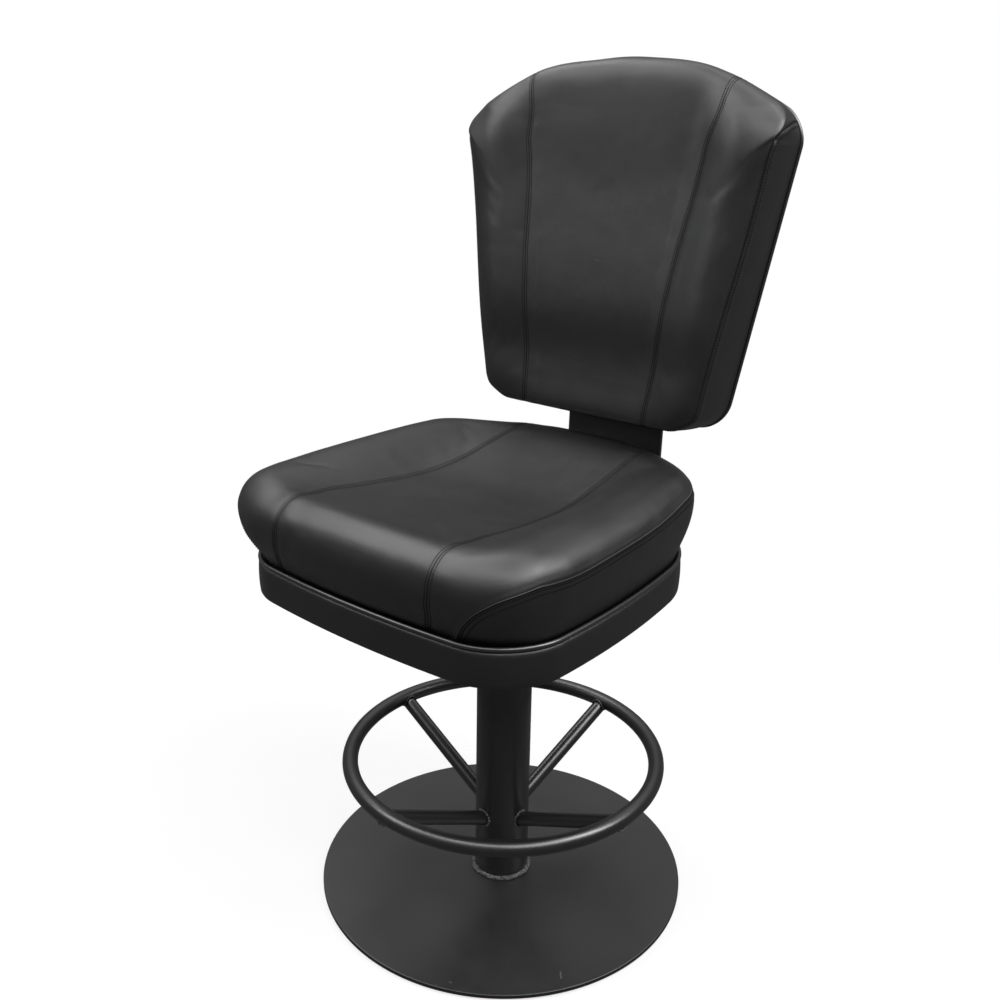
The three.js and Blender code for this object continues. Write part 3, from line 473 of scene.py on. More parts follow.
class Shader:
    """A material under construction."""

    def __init__(self, name, tree=None):
        if tree is None:
            self.material = bpy.data.materials.new(name)
            self.material.use_nodes = True
            tree = self.material.node_tree
        self.tree = tree
        self.tree.nodes.clear()
        self.place = self.node("ShaderNodeTexCoord", out="Object")

    def node(self, kind, settings=None, values=None, out=0):
        """Adds a node: first its settings, then its sockets' values or links; gives one output."""
        made = self.tree.nodes.new(kind)
        for key, value in (settings or {}).items():
            setattr(made, key, value)
        for key, value in (values or {}).items():
            if isinstance(value, Wire):
                self.tree.links.new(value.socket, made.inputs[key])
            else:
                made.inputs[key].default_value = value
        return Wire(self, made.outputs[out]) if made.outputs else None

    def noise(self, scale, detail=3.0, rough=0.5, place=None, out=0):
        values = {"Vector": place or self.place, "Scale": scale, "Detail": detail, "Roughness": rough}
        return self.node("ShaderNodeTexNoise", None, values, out)

    def cells(self, scale, out):
        values = {"Vector": self.place, "Scale": scale}
        return self.node("ShaderNodeTexVoronoi", {"feature": "F1"}, values, out)

    def field(self, name):
        return self.node("ShaderNodeAttribute", {"attribute_name": name}, out="Fac")

    def blend(self, share, a, b):
        """Colour a where the share is 0, colour b where it is 1."""
        a, b = ((*c, 1.0) if isinstance(c, tuple) and len(c) == 3 else c for c in (a, b))
        settings = {"data_type": "RGBA", "clamp_factor": True}
        return self.node("ShaderNodeMix", settings, {0: share, 6: a, 7: b}, out=2)

    def near_line(self, start, end, width):
        """1 on a straight mark between two places in metres, falling to 0 over its width."""
        start, end = np.array(start), np.array(end)
        along = end - start
        away = self.place - tuple(start)
        share = away.maths("DOT_PRODUCT", tuple(along / along.dot(along)))
        share = Wire(self, share.socket.node.outputs["Value"]).most(0.0).least(1.0)
        step = self.node("ShaderNodeVectorMath", {"operation": "SCALE"}, {0: tuple(along), "Scale": share})
        gone = (away - step).maths("LENGTH")
        return Wire(self, gone.socket.node.outputs["Value"]).bell(0.0, width)

    def marked(self, colour, marks):
        """The colour with straight marks laid over it: start, end, width and strength of each."""
        for start, end, width, light in marks:
            colour = self.blend(self.near_line(start, end, width) * light, colour, MARK)
        return colour

    def surface(self, colour, rough, height=None, gap=None, **constants):
        """Principled surface with a colour, a roughness, a height in metres, a share of it that is
        painted shade, as in a seam's crease, and constants."""
        values = {"Base Color": colour, "Roughness": rough}
        values.update({key.replace("_", " "): value for key, value in constants.items()})
        if height is not None:
            values["Normal"] = self.node("ShaderNodeBump", None, {"Height": height, "Distance": 1.0})
        made = self.node("ShaderNodeBsdfPrincipled", None, values)
        # Painted shade: a near-black, dull surface mixed in by the share, standing for the shade in a seam's
        # crease.
        if gap is not None:
            values = {"Base Color": (0.002, 0.002, 0.002, 1.0), "Roughness": 0.9, "Specular IOR Level": 0.1}
            crease_shade = self.node("ShaderNodeBsdfPrincipled", None, values)
            made = self.node("ShaderNodeMixShader", None, {0: (gap * 0.85).least(1.0), 1: made, 2: crease_shade})
        self.node("ShaderNodeOutputMaterial", None, {"Surface": made})
        return self.material


def grey(value):
    """Linear colour of a screen grey from 0 to 255."""
    return ((((value / 255) + 0.055) / 1.055) ** 2.4,) * 3


def shade(colour, share):
    """A colour made so many times lighter."""
    return tuple(part * share for part in colour)


_made = {}


def finish_named(key):
    """Each finish is made once and then shared."""
    if key not in _made:
        _made[key] = FINISHES[key]()
    return _made[key]


def vinyl(name, seams=(), marks=(), tone=1.0):
    """Soft black vinyl: a fine leather grain, faint mottling, and folds along the seam fields."""
    look = bpy.context.scene.stool_finish
    s = Shader(name)
    drift = s.noise(9.0, 2.0)
    patches = s.noise(38.0, 3.0, 0.6)
    warp = s.noise(420.0, 1.0, out="Color")
    place = s.node("ShaderNodeMix", {"data_type": "VECTOR"}, {0: 0.0009, 4: s.place, 5: warp}, out=1)
    cells = {"Vector": place, "Scale": 1.0 / look.grain_size, "Randomness": 1.0}
    grain = s.node("ShaderNodeTexVoronoi", {"feature": "DISTANCE_TO_EDGE"}, cells, out="Distance")
    pores = s.noise(2600.0, 2.0, 0.6)
    height = grain.between(0.0, 0.16) * look.grain_depth + pores * (look.grain_depth * 0.35)
    height = height + drift * 0.0022 + patches * 0.00028
    dark = lip_highlight = None
    for field, rows, edge in seams:
        away = s.field(field)
        # The fold and the stitch rows also carry painted shade: they make up the share of the dark, dull
        # surface.
        fold = away.bell(0.0, 0.0007)
        height = height - fold * 0.0006
        for row in rows:
            line = away.bell(row, 0.00055)
            height = height - line * 0.0002
            fold = fold + line * 0.3
        dark = fold if dark is None else dark + fold
        if edge:
            lip_highlight = away.bell(0.0014, 0.0007)
            height = height + lip_highlight * edge
    base = shade(look.vinyl_colour, tone)
    colour = s.blend(drift.between(0.3, 0.7) * 0.5 + patches * 0.5, shade(base, 0.84), shade(base, 1.18))
    rough = look.vinyl_roughness + (patches - 0.5) * 0.09 + (drift - 0.5) * 0.08
    # Painted highlight: the seam's rolled lip is coloured a lighter grey.
    if lip_highlight is not None:
        colour = s.blend(lip_highlight * 0.5, colour, grey(120))
    colour = s.marked(colour, marks)
    return s.surface(colour, rough, height, dark, Specular_IOR_Level=look.vinyl_specular)


def paint(name, colour_scale=1.0, mottle=0.35, rough=0.0, gloss=0.0, marks=()):
    """Satin black powder coat: orange peel, a fine speck and wiped-over patches."""
    look = bpy.context.scene.stool_finish
    s = Shader(name)
    smear = s.noise(7.0, 4.0, 0.6)
    patches = s.noise(45.0, 3.0, 0.6)
    speck = s.cells(520.0, "Distance")
    peel = s.noise(620.0, 2.0, 0.5)
    base = shade(look.paint_colour, colour_scale)
    share = smear.between(0.3, 0.72) * (1 - mottle) + patches * mottle
    colour = s.blend(share, shade(base, 1 - mottle), shade(base, 1 + mottle))
    colour = s.blend(speck.between(0.1, 0.0) * 0.25, colour, (0.09, 0.09, 0.09))
    colour = s.marked(colour, marks)
    roughness = look.paint_roughness + rough + (smear - 0.5) * 0.16 + (patches - 0.5) * 0.08
    height = peel * 0.00005 + patches * 0.00006
    shine = {"Specular_IOR_Level": look.paint_specular, "Coat_Weight": gloss, "Coat_Roughness": 0.34}
    return s.surface(colour, roughness, height, **shine)


def weld_finish():
    """Paint over a rippled bead, coloured with a painted highlight: a lighter grey than the black steel,
    palest on its crests.
    """
    s = Shader("painted_weld")
    lump = s.noise(240.0, 3.0, 0.6)
    fine = s.noise(1400.0, 3.0, 0.6)
    # Painted highlight: the bead is lighter than the black paint and its crests are paler still.
    colour = s.blend(lump.between(0.35, 0.7), grey(60), grey(125))
    return s.surface(colour, 0.5 + fine * 0.2, lump * 0.0006 + fine * 0.00008, Specular_IOR_Level=0.4)


def zinc_finish():
    """Bright zinc plate with cloudy spangle and cloudy smears of gloss."""
    s = Shader("zinc_plate")
    cloud = s.noise(60.0, 4.0, 0.6)
    tone = s.node("ShaderNodeSeparateColor", None, {"Color": s.cells(140.0, "Color")}, out="Red")
    colour = s.blend(tone * 0.5 + cloud * 0.5, (0.36, 0.37, 0.39), (0.62, 0.63, 0.65))
    return s.surface(colour, 0.28 + cloud * 0.22, cloud * 0.00006, Metallic=1.0)


def bearing_finish():
    """Ground bearing steel under a thin film of grease."""
    s = Shader("bearing_steel")
    film = s.noise(110.0, 3.0, 0.6)
    colour = s.blend(film.between(0.35, 0.65), (0.5, 0.5, 0.5), (0.34, 0.29, 0.2))
    return s.surface(colour, 0.16 + film * 0.25, film * 0.00003, Metallic=1.0)


def plywood_finish():
    """Birch plywood: pale and dark veneers in turn by height, with long fibres across."""
    s = Shader("birch_plywood")
    parts = s.node("ShaderNodeSeparateXYZ", None, {"Vector": s.place}, out="Z")
    stretched = s.node("ShaderNodeMapping", None, {"Vector": s.place, "Scale": (9.0, 260.0, 260.0)})
    fibre = s.noise(1.0, 4.0, 0.65, place=stretched)
    layer = (parts * (math.pi / 0.0015)).maths("SINE")
    tone = layer.between(-0.4, 0.4) * 0.45 + fibre.between(0.3, 0.7) * 0.55
    colour = s.blend(tone, (0.30, 0.19, 0.10), (0.56, 0.41, 0.25))
    return s.surface(colour, 0.62 + fibre * 0.2, fibre * 0.0002, Specular_IOR_Level=0.3)


def rubber_finish():
    """Black rubber sheet, dusty, with a faint pebble."""
    s = Shader("rubber_pad")
    dust = s.noise(55.0, 4.0, 0.6)
    pebble = s.noise(700.0, 2.0, 0.5)
    colour = s.blend(dust.between(0.4, 0.8), grey(24), grey(52))
    return s.surface(colour, 0.85 + dust * 0.1, pebble * 0.00012, Specular_IOR_Level=0.3)


def welt_finish():
    """Vinyl drawn tight over a cord: the grain is stretched and shinier than on the panels."""
    look = bpy.context.scene.stool_finish
    s = Shader("vinyl_welt")
    worn = s.noise(80.0, 3.0, 0.6)
    grain = s.noise(1300.0, 2.0, 0.55)
    colour = s.blend(worn, shade(look.vinyl_colour, 0.9), shade(look.vinyl_colour, 1.5))
    shine = {"Specular_IOR_Level": 1.0, "Coat_Weight": 0.8, "Coat_Roughness": 0.25}
    return s.surface(colour, 0.3 + worn * 0.1, grain * 0.00005, **shine)


def thread_finish():
    """Black bonded thread with a two-ply twist."""
    s = Shader("sewing_thread")
    twist = s.noise(1500.0, 2.0, 0.5)
    colour = s.blend(twist, grey(6), grey(15))
    return s.surface(colour, 0.6 + twist * 0.2, twist * 0.0001, Specular_IOR_Level=0.15)


DISC_MARKS = (
    ((0.1995, -0.1181, 0.008), (0.2040, -0.1234, 0.008), 0.0009, 0.5),
    ((0.2052, -0.1246, 0.008), (0.2063, -0.1259, 0.008), 0.0009, 0.6),
    ((0.1039, -0.2242, 0.008), (0.1054, -0.2240, 0.008), 0.0009, 0.5),
    ((0.0940, -0.2396, 0.008), (0.0944, -0.2392, 0.008), 0.0009, 0.3),
)

FINISHES = {
    "seat": lambda: vinyl(
        "seat_vinyl",
        seams=(("top_seam", (-0.0036, 0.0036), 0.0), ("boxing_seam", (-0.003, -0.0085), 0.0005)),
        marks=(
            ((0.0022, -0.2805, 0.6116), (0.0026, -0.2805, 0.6116), 0.0008, 0.6),
            ((0.2154, -0.1428, 0.6281), (0.2300, -0.1126, 0.6224), 0.0006, 0.1),
            ((0.0520, -0.1900, 0.6069), (0.0600, -0.1960, 0.6076), 0.0018, 0.08),
            ((0.0690, -0.2060, 0.6090), (0.0760, -0.2020, 0.6094), 0.0016, 0.07),
            ((0.0790, -0.2080, 0.6098), (0.0829, -0.2086, 0.6100), 0.0018, 0.09),
        ),
    ),
    "back": lambda: vinyl(
        "back_vinyl",
        seams=(("panel_seam", (-0.0034, 0.0034), 0.0), ("gusset_seam", (-0.0055, 0.0025), 0.0)),
        marks=(((0.1674, 0.1528, 0.8371), (0.1870, 0.1563, 0.8383), 0.0005, 0.14),),
    ),
    # Painted shade: the band is the same vinyl made darker.
    "band": lambda: vinyl("band_vinyl", tone=0.7),
    "panel": lambda: vinyl("panel_vinyl", tone=0.9),
    "paint": lambda: paint("black_paint", gloss=0.4),
    # Painted light: the disc's paint is the same black made a little lighter; its stronger mottle is
    # wiped-over patches.
    "disc": lambda: paint("disc_paint", colour_scale=1.05, mottle=0.55, rough=0.1, marks=DISC_MARKS),
    # Painted shade: the bracket's paint is the same black made darker.
    "bracket": lambda: paint("bracket_paint", colour_scale=0.8, mottle=0.25, rough=0.05),
    "weld": weld_finish,
    "zinc": zinc_finish,
    "bearing": bearing_finish,
    "plywood": plywood_finish,
    "rubber": rubber_finish,
    "welt": welt_finish,
    "thread": thread_finish,
}


# Seat


def dish_level(x, y):
    """Height of the seat's top: a hollow that rises from its lowest line by a square to the front
    and by a soft step to the rear, blended into a raised rim on both sides."""
    past = y - DISH_LINE
    (front, front_run), (rear, rear_run) = DISH_FRONT, DISH_REAR
    middle = DISH_LOW + np.where(past < 0, front * (past / front_run) ** 2, rear * smooth(past / rear_run))
    along = y / 250.0
    rim = RIM_LEVEL + 6.5 * along - 3.2 * along**2 + 2.0 * bell(y, 60.0, 90.0)
    inner = RIM_INNER - 42.0 * smooth((y - 90.0) / 120.0)
    return PIPING_LEVEL + mix(middle, rim, smooth((np.abs(x) - inner) / RIM_WIDTH))


def seat_section(normals):
    """How far the wall stands out, how high it is widest and how wide its shoulder is, blended
    from front, side and rear values by the way the wall faces, with fuller corners."""
    ny = normals[:, 1]
    front, rear = smooth((-ny - 0.45) / 0.5), smooth((ny - 0.25) / 0.6)
    shares = (front, 1 - front - rear, rear)
    reach, swell, roll = (
        sum(share * size for share, size in zip(shares, sizes))
        for sizes in (SEAT_REACH, SEAT_SWELL, SEAT_ROLL)
    )
    return reach + 10.3 * bell(ny, -0.7, 0.28) + 5.7 * bell(ny, 0.6, 0.3), swell, roll


def seat_point(ring, normals, level):
    """Skin of the seat's side at a level: -1 at the piping, 0 at the widest place, 1 at the top.
    The wall is offset = mix(-6, reach, sin^1.1) and height = mix(lap, widest, its share); the
    shoulder is offset = reach - roll (1 - cos) and height = mix(widest, dish, sin)."""
    reach, swell, roll = seat_section(normals)
    wall = np.clip(level + 1, 0, 1) * math.pi / 2
    over = np.clip(level, 0, 1) * math.pi / 2
    offset = mix(-6.0, reach, np.sin(wall) ** 1.1) - roll * (1 - np.cos(over))
    spot = ring + normals * offset[..., None]
    low = mix(LAP_LEVEL, PIPING_LEVEL + swell, wall * 2 / math.pi)
    high = mix(low, dish_level(spot[..., 0], spot[..., 1]), np.sin(over))
    return np.concatenate([spot, np.where(level > 0, high, low)[..., None]], -1)


def seat_seam_half(y):
    """Half the distance between the two seams of the top, by how far back."""
    return np.interp(y, [-262, -205, -120, -32, 42, 140], [123, 125, 121, 114, 107.5, 103])


def seat_seam_lean(y, level):
    """How far both seams stand to one side: they slant down the front, as they were sewn."""
    on_top = np.interp(y, [-205, 0, 140], [0, 1, 4])
    down_front = np.interp(level, [-1, -0.5, 0, 1], [-8, 5, 10, 9])
    return mix(on_top, down_front, smooth((-y - 180.0) / 60.0))


# The boxing seam on one side, from the rear to the front: x, y and the number of its row
BOXING_TRACE = np.array(
    [
        (0, 206, 0.25), (120, 205, 0.25), (195, 150, 0.25), (220, 95, 0.25),
        (226.6, 75.7, 0.215), (231.2, 46.5, 0.17), (234.8, 21, 0.125), (237.5, -2.4, 0.09),
        (241.3, -44, 0.05), (243.7, -82, 0.025), (245, -131, -0.018), (244.6, -170, -0.05),
        (240.8, -213, -0.042), (236.2, -234.6, -0.035), (229.4, -251, 0.015), (223.5, -259.3, 0.043),
        (215, -267.5, 0.05), (207, -273, 0.025), (200, -277, -0.02), (192, -280.3, -0.1),
        (184.5, -283, -0.23), (177.8, -284.9, -0.41), (170.6, -286.6, -0.63), (163, -288, -0.82),
        (156, -288.8, -1.0), (146, -289, -1.3), (0, -289, -2.2),
    ]
)


def traced_level(outer, trace):
    """Level of a seam round the whole piece: the traced levels, mirrored, by nearest place."""
    run = np.concatenate([[0], np.cumsum(np.linalg.norm(np.diff(outer, axis=0), axis=1))])
    total = run[-1] + np.linalg.norm(outer[0] - outer[-1])
    both = np.concatenate([trace, trace * (-1, 1, 1)])
    places = run[np.argmin(((both[:, None, :2] - outer[None]) ** 2).sum(-1), axis=1)]
    order = np.argsort(places)
    return softened(np.interp(run, places[order], both[order, 2], period=total)), total / len(outer)


def softened(values, reach=4):
    """A closed row of values, each turned into the bell-weighted mean of its neighbours."""
    shifts = np.arange(-3 * reach, 3 * reach + 1)
    weights = bell(shifts, 0, reach * 1.4)
    return sum(np.roll(values, shift) * weight for shift, weight in zip(shifts, weights)) / weights.sum()


def field_distance(level, seam, up_length, step):
    """Signed distance from a seam: (level - seam) over the length of its slope, in millimetres."""
    slope = (np.roll(seam, -1) - np.roll(seam, 1)) / (2 * step)
    return (level - seam) / np.sqrt(slope**2 + 1 / np.maximum(up_length, 1e-3) ** 2)


def seat_grid():
    """The whole cushion as closed rows from its foot to its middle, with each row's level."""
    ring, normals = plan(SEAT_CORNERS, SEAT_BOWS, SEAT_RADII, SEAT_PLACES)
    foot = [lift(ring - normals * inset, z) for inset, z in SEAT_FOOT]
    levels = np.concatenate([np.linspace(-1, 0, 44), np.linspace(0, 1, 58)[1:]])
    side = [seat_point(ring, normals, np.full(len(ring), level)) for level in levels]
    grid = np.stack(foot + side + closed_in(side[-1][:, :2], CUSHION_CENTRE, dish_level))
    rows = np.concatenate([np.full(len(foot), -1.4), levels, 1 + np.arange(1, INNER_ROWS + 1) * INNER_STEP])
    return grid, rows, ring, normals


def seat_fields(grid, rows, ring, normals):
    """Signed distances from the two top seams and the boxing seam at every place of the grid."""
    reach = seat_section(normals)[0]
    seam, step = traced_level(ring + normals * reach[:, None], BOXING_TRACE)
    up = np.linalg.norm(np.gradient(grid, axis=0), axis=-1) / np.maximum(np.gradient(rows), 1e-6)[:, None]
    boxing = field_distance(rows[:, None], seam[None], up, step)
    boxing = np.where(rows[:, None] > 1.0, FAR, boxing)
    y = grid[..., 1]
    x = np.abs(grid[..., 0] - seat_seam_lean(y, rows[:, None]))
    each = np.linspace(-300, 250, 551)
    tilt = np.interp(y, each, np.gradient(seat_seam_half(each)))
    top = (x - seat_seam_half(y)) / np.sqrt(1 + tilt**2)
    top = np.where(rows[:, None] < seam[None], FAR, top)
    return np.clip(top, -FAR, FAR), np.clip(boxing, -FAR, FAR), seam


def push_out(grid, amount):
    """Moves each place of a grid along its normal."""
    return grid + grid_normals(grid) * amount[..., None]


def row_crossing(grid, field, here):
    """Where a field changes sign along each closed row, at the one crossing inside the region."""
    ahead = np.roll(field, -1, axis=1)
    hit = ((field < 0) != (ahead < 0)) & here & np.roll(here, -1, axis=1)
    first = hit.argmax(1)
    rows = np.arange(len(grid))
    a, b = field[rows, first], ahead[rows, first]
    share = (a / np.where(a == b, 1, a - b))[:, None]
    return mix(grid[rows, first], np.roll(grid, -1, axis=1)[rows, first], share)[hit.any(1)]


class SeatSizes(bpy.types.PropertyGroup):
    """Sizes of the seat's upholstery."""

    groove: FloatProperty(
        name="Seam Depth", description="How far the top seams pull in", default=0.0002, unit="LENGTH"
    )
    puff: FloatProperty(
        name="Puff", description="How far the panels swell beside a seam", default=0.0003, unit="LENGTH"
    )
    stitch_pitch: FloatProperty(
        name="Stitch Pitch", description="Length of a stitch and its gap", default=0.0034, unit="LENGTH"
    )
    stitch_gap: FloatProperty(
        name="Row Distance", description="From a seam to its row of stitches", default=0.0036, unit="LENGTH"
    )
    band_edge: FloatProperty(
        name="Band Edge", description="Radius of the band's two edges", default=0.003, unit="LENGTH"
    )


def seam_relief(away, depth, puff, rows=()):
    """Relief beside a seam: a valley at the fold, a swell on both sides and a dip under each row."""
    made = -depth * bell(away, 0, 2.6) + puff * bell(np.abs(away), 11.0, 8.0)
    for row in rows:
        made = made - 0.1 * bell(away, row, 1.6)
    return made


class STOOL_OT_seat_cushion(bpy.types.Operator):
    """Make the seat cushion, its seams and its stitches"""

    bl_idname = "stool.seat_cushion"
    bl_label = "Seat Cushion"

    def execute(self, context):
        sizes = context.scene.stool_seat
        grid, rows, ring, normals = seat_grid()
        top, boxing, seam = seat_fields(grid, rows, ring, normals)
        gap = sizes.stitch_gap / MM
        amount = seam_relief(top, sizes.groove / MM, sizes.puff / MM, (-gap, gap))
        edge = 0.7 * bell(boxing, 3.0, 3.4) - 0.6 * smooth((1.0 - boxing) / 4.0)
        above_foot = (rows > -1.2)[:, None]
        shaped = push_out(grid, np.where(above_foot, amount + edge, 0))
        middles = [(*CUSHION_CENTRE, SEAT_FLOOR), (*CUSHION_CENTRE, float(dish_level(*CUSHION_CENTRE)))]
        held = (rows < HELD_ROWS)[:, None] | (np.abs(top) < HELD) | (np.abs(boxing) < HELD)
        shaped = settled(shaped, held, middles, SEAT_CAP)
        fields = {"top_seam": top * MM, "boxing_seam": boxing * MM}
        cushion = skin("seat_cushion_cover", shaped, middles=middles, fields=fields)
        finish_piece(cushion, "seat", "seat_vinyl", "seat", "seat_cushion")
        sewn = []
        pitch = sizes.stitch_pitch / MM
        body = rows > -1
        for hand in (-1, 1):
            path = self.top_path(shaped, rows, seam, hand)
            for offset in (-gap, gap):
                sewn.append(stitch_row(path, offset, shaped[body], top[body], pitch))
        path = open_run(seat_point(ring, normals, np.maximum(seam, -1)), seam > -1)
        for offset in SEAT_STITCH_ROWS:
            sewn.append(stitch_row(path, offset, shaped[body], boxing[body], pitch))
        finish_piece(stitches("seat_stitches", sewn), "seat", "welt", "thread")
        return {"FINISHED"}

    def top_path(self, shaped, rows, seam, hand):
        """One top seam from the piping, up the front, over the dish and down the rear shoulder."""
        outer = (rows > -1) & (rows <= 1)
        side, level = shaped[outer], rows[outer][:, None]
        away = (side[..., 0] - seat_seam_lean(side[..., 1], level)) * hand - seat_seam_half(side[..., 1])
        front = row_crossing(side, away, side[..., 1] < -100)
        rear = row_crossing(side, away, (side[..., 1] > 100) & (level > seam[None]))
        y = np.linspace(front[-1, 1] + 2, rear[-1, 1] - 2, 200)
        x = hand * seat_seam_half(y) + seat_seam_lean(y, 1.0)
        across = np.stack([x, y, dish_level(x, y)], 1)
        return np.concatenate([front, across, rear[::-1]])


class STOOL_OT_seat_band(bpy.types.Operator):
    """Make the vinyl band round the seat board and the piping on top of it"""

    bl_idname = "stool.seat_band"
    bl_label = "Seat Band and Piping"

    def execute(self, context):
        sizes = context.scene.stool_seat
        ring, normals = plan(SEAT_CORNERS, SEAT_BOWS, SEAT_RADII, SEAT_PLACES)
        edge = sizes.band_edge / MM
        turn = np.linspace(0, math.pi / 2, 7)
        up = np.linspace(edge, BAND_HEIGHT - edge, 11)
        crown = 1.2 * (1 - (2 * up / BAND_HEIGHT - 1) ** 2)
        low = np.stack([-edge + edge * np.sin(turn), edge - edge * np.cos(turn)], 1)
        face = np.stack([crown, up], 1)
        high = np.stack([-edge + edge * np.cos(turn), BAND_HEIGHT - edge + edge * np.sin(turn)], 1)
        profile = np.concatenate([[(-14, 0)], low[:-1], face, high[1:], [(-14, BAND_HEIGHT)]])
        rows = [lift(ring + normals * offset, BAND_BOTTOM + level) for offset, level in profile]
        band = skin("seat_band_cover", np.stack(rows), hoop=True)
        finish_piece(band, "seat", "band_vinyl", "band", "seat_band")
        piping = skin("seat_piping_cover", bead_round(ring, normals, 3, -2, PIPING_LEVEL, 18), hoop=True)
        finish_piece(piping, "seat", "welt", "welt", "seat_piping")
        return {"FINISHED"}


# Back


def back_seam_half(high):
    """Half the distance between the back's two long seams, by height."""
    return 100.0 + 0.072 * high + 0.00011 * high**2


def back_seam_lean(high):
    """How far both long seams stand to one side, as they were sewn."""
    return 7.0 * smooth((high - 200.0) / 150.0) + 9.0 * smooth((high - 355.0) / 50.0)


def back_deep(x, high, hollow):
    """Depth of the back's face: thinner above the small of the back, hollow between its wings."""
    across = smooth((np.abs(x) - back_seam_half(high) + 24.0) / 84.0)
    dish = mix(*BACK_HOLLOW, high / BACK_HEIGHT) * (1 - across) + 6.4 * bell(high, 83.0, 43.0)
    return BACK_THICK - BACK_TAPER * smooth((high - 80) / 260) - hollow * dish


def back_point(ring, normals, face, level):
    """Skin of the back's side at a level: -1 at the rear rim, 0 at the gusset seam, 1 on the face.
    The gusset runs straight with a slight belly; the shoulder moves from there to the face's own
    outline by 1 - cos and from the seam's depth to the face's by sin. The top corners swell most."""
    top = smooth((normals[:, 1] - 0.15) / 0.6)
    fall = mix(15.4, 41.0, top)
    swell = mix(5.5, 14.0, smooth((np.abs(ring[:, 0]) - 30.0) / 100.0))
    foot = smooth((-normals[:, 1] - 0.5) / 0.4)
    swell = mix(3.2 - 5.0 * foot, swell, smooth((normals[:, 1] - 0.02) / 0.5))
    over = np.clip(level, 0, 1) * math.pi / 2
    back = np.clip(-level, 0, 1)
    outer = ring + normals * (mix(swell, 5.5, back) + 1.6 * np.sin(math.pi * back))[..., None]
    spot = mix(outer, face, (1 - np.cos(over))[..., None])
    seam = back_deep(ring[:, 0], ring[:, 1], 0.0) - fall
    front = back_deep(spot[:, 0], spot[:, 1], np.sin(over))
    deep = np.where(level > 0, mix(seam, front, np.sin(over)), mix(seam, 8.0, back))
    return np.concatenate([spot, deep[..., None]], -1)


def back_grid():
    """The whole back cushion as closed rows (x, h, deep) from its rear rim to its middle."""
    ring, normals = plan(BACK_CORNERS, BACK_BOWS, BACK_RADII, BACK_PLACES)
    face = plan(BACK_FACE_CORNERS, BACK_FACE_BOWS, BACK_FACE_RADII, BACK_PLACES)[0]
    rim = [lift(ring + normals * 1.3, BACK_REAR)]
    levels = np.concatenate([np.linspace(-1, 0, 34), np.linspace(0, 1, 52)[1:]])
    side = [back_point(ring, normals, face, np.full(len(ring), level)) for level in levels]
    inner = closed_in(face, (0.0, BACK_MIDDLE), lambda x, high: back_deep(x, high, 1.0))
    rows = np.concatenate([[-1.2], levels, 1 + np.arange(1, INNER_ROWS + 1) * INNER_STEP])
    return np.stack(rim + side + inner), rows, ring, normals, face


def gusset_level(ring):
    """The gusset seam runs at level 0 round the sides and foot, and turns back to the rear rim
    below each shoulder, so the face panel runs over the top."""
    heights = [200, 250, 300, 345, 355, 363, 371, 377.4, 381.2, 383.7, 385.2, 389]
    levels = [0, 0.04, 0.12, 0.17, 0.13, 0.03, -0.08, -0.26, -0.55, -0.85, -1.0, -1.6]
    return softened(np.interp(ring[:, 1], heights, levels), 2)


class BackSizes(bpy.types.PropertyGroup):
    """Sizes of the back's upholstery."""

    groove: FloatProperty(
        name="Seam Depth", description="How far the long seams pull in", default=0.0002, unit="LENGTH"
    )
    puff: FloatProperty(
        name="Puff", description="How far the panels swell beside a seam", default=0.0003, unit="LENGTH"
    )
    stitch_pitch: FloatProperty(
        name="Stitch Pitch", description="Length of a stitch and its gap", default=0.0034, unit="LENGTH"
    )
    stitch_gap: FloatProperty(
        name="Row Distance", description="From a seam to its row of stitches", default=0.0034, unit="LENGTH"
    )
    panel_crown: FloatProperty(
        name="Panel Crown", description="How far the rear panel bellies out", default=0.003, unit="LENGTH"
    )


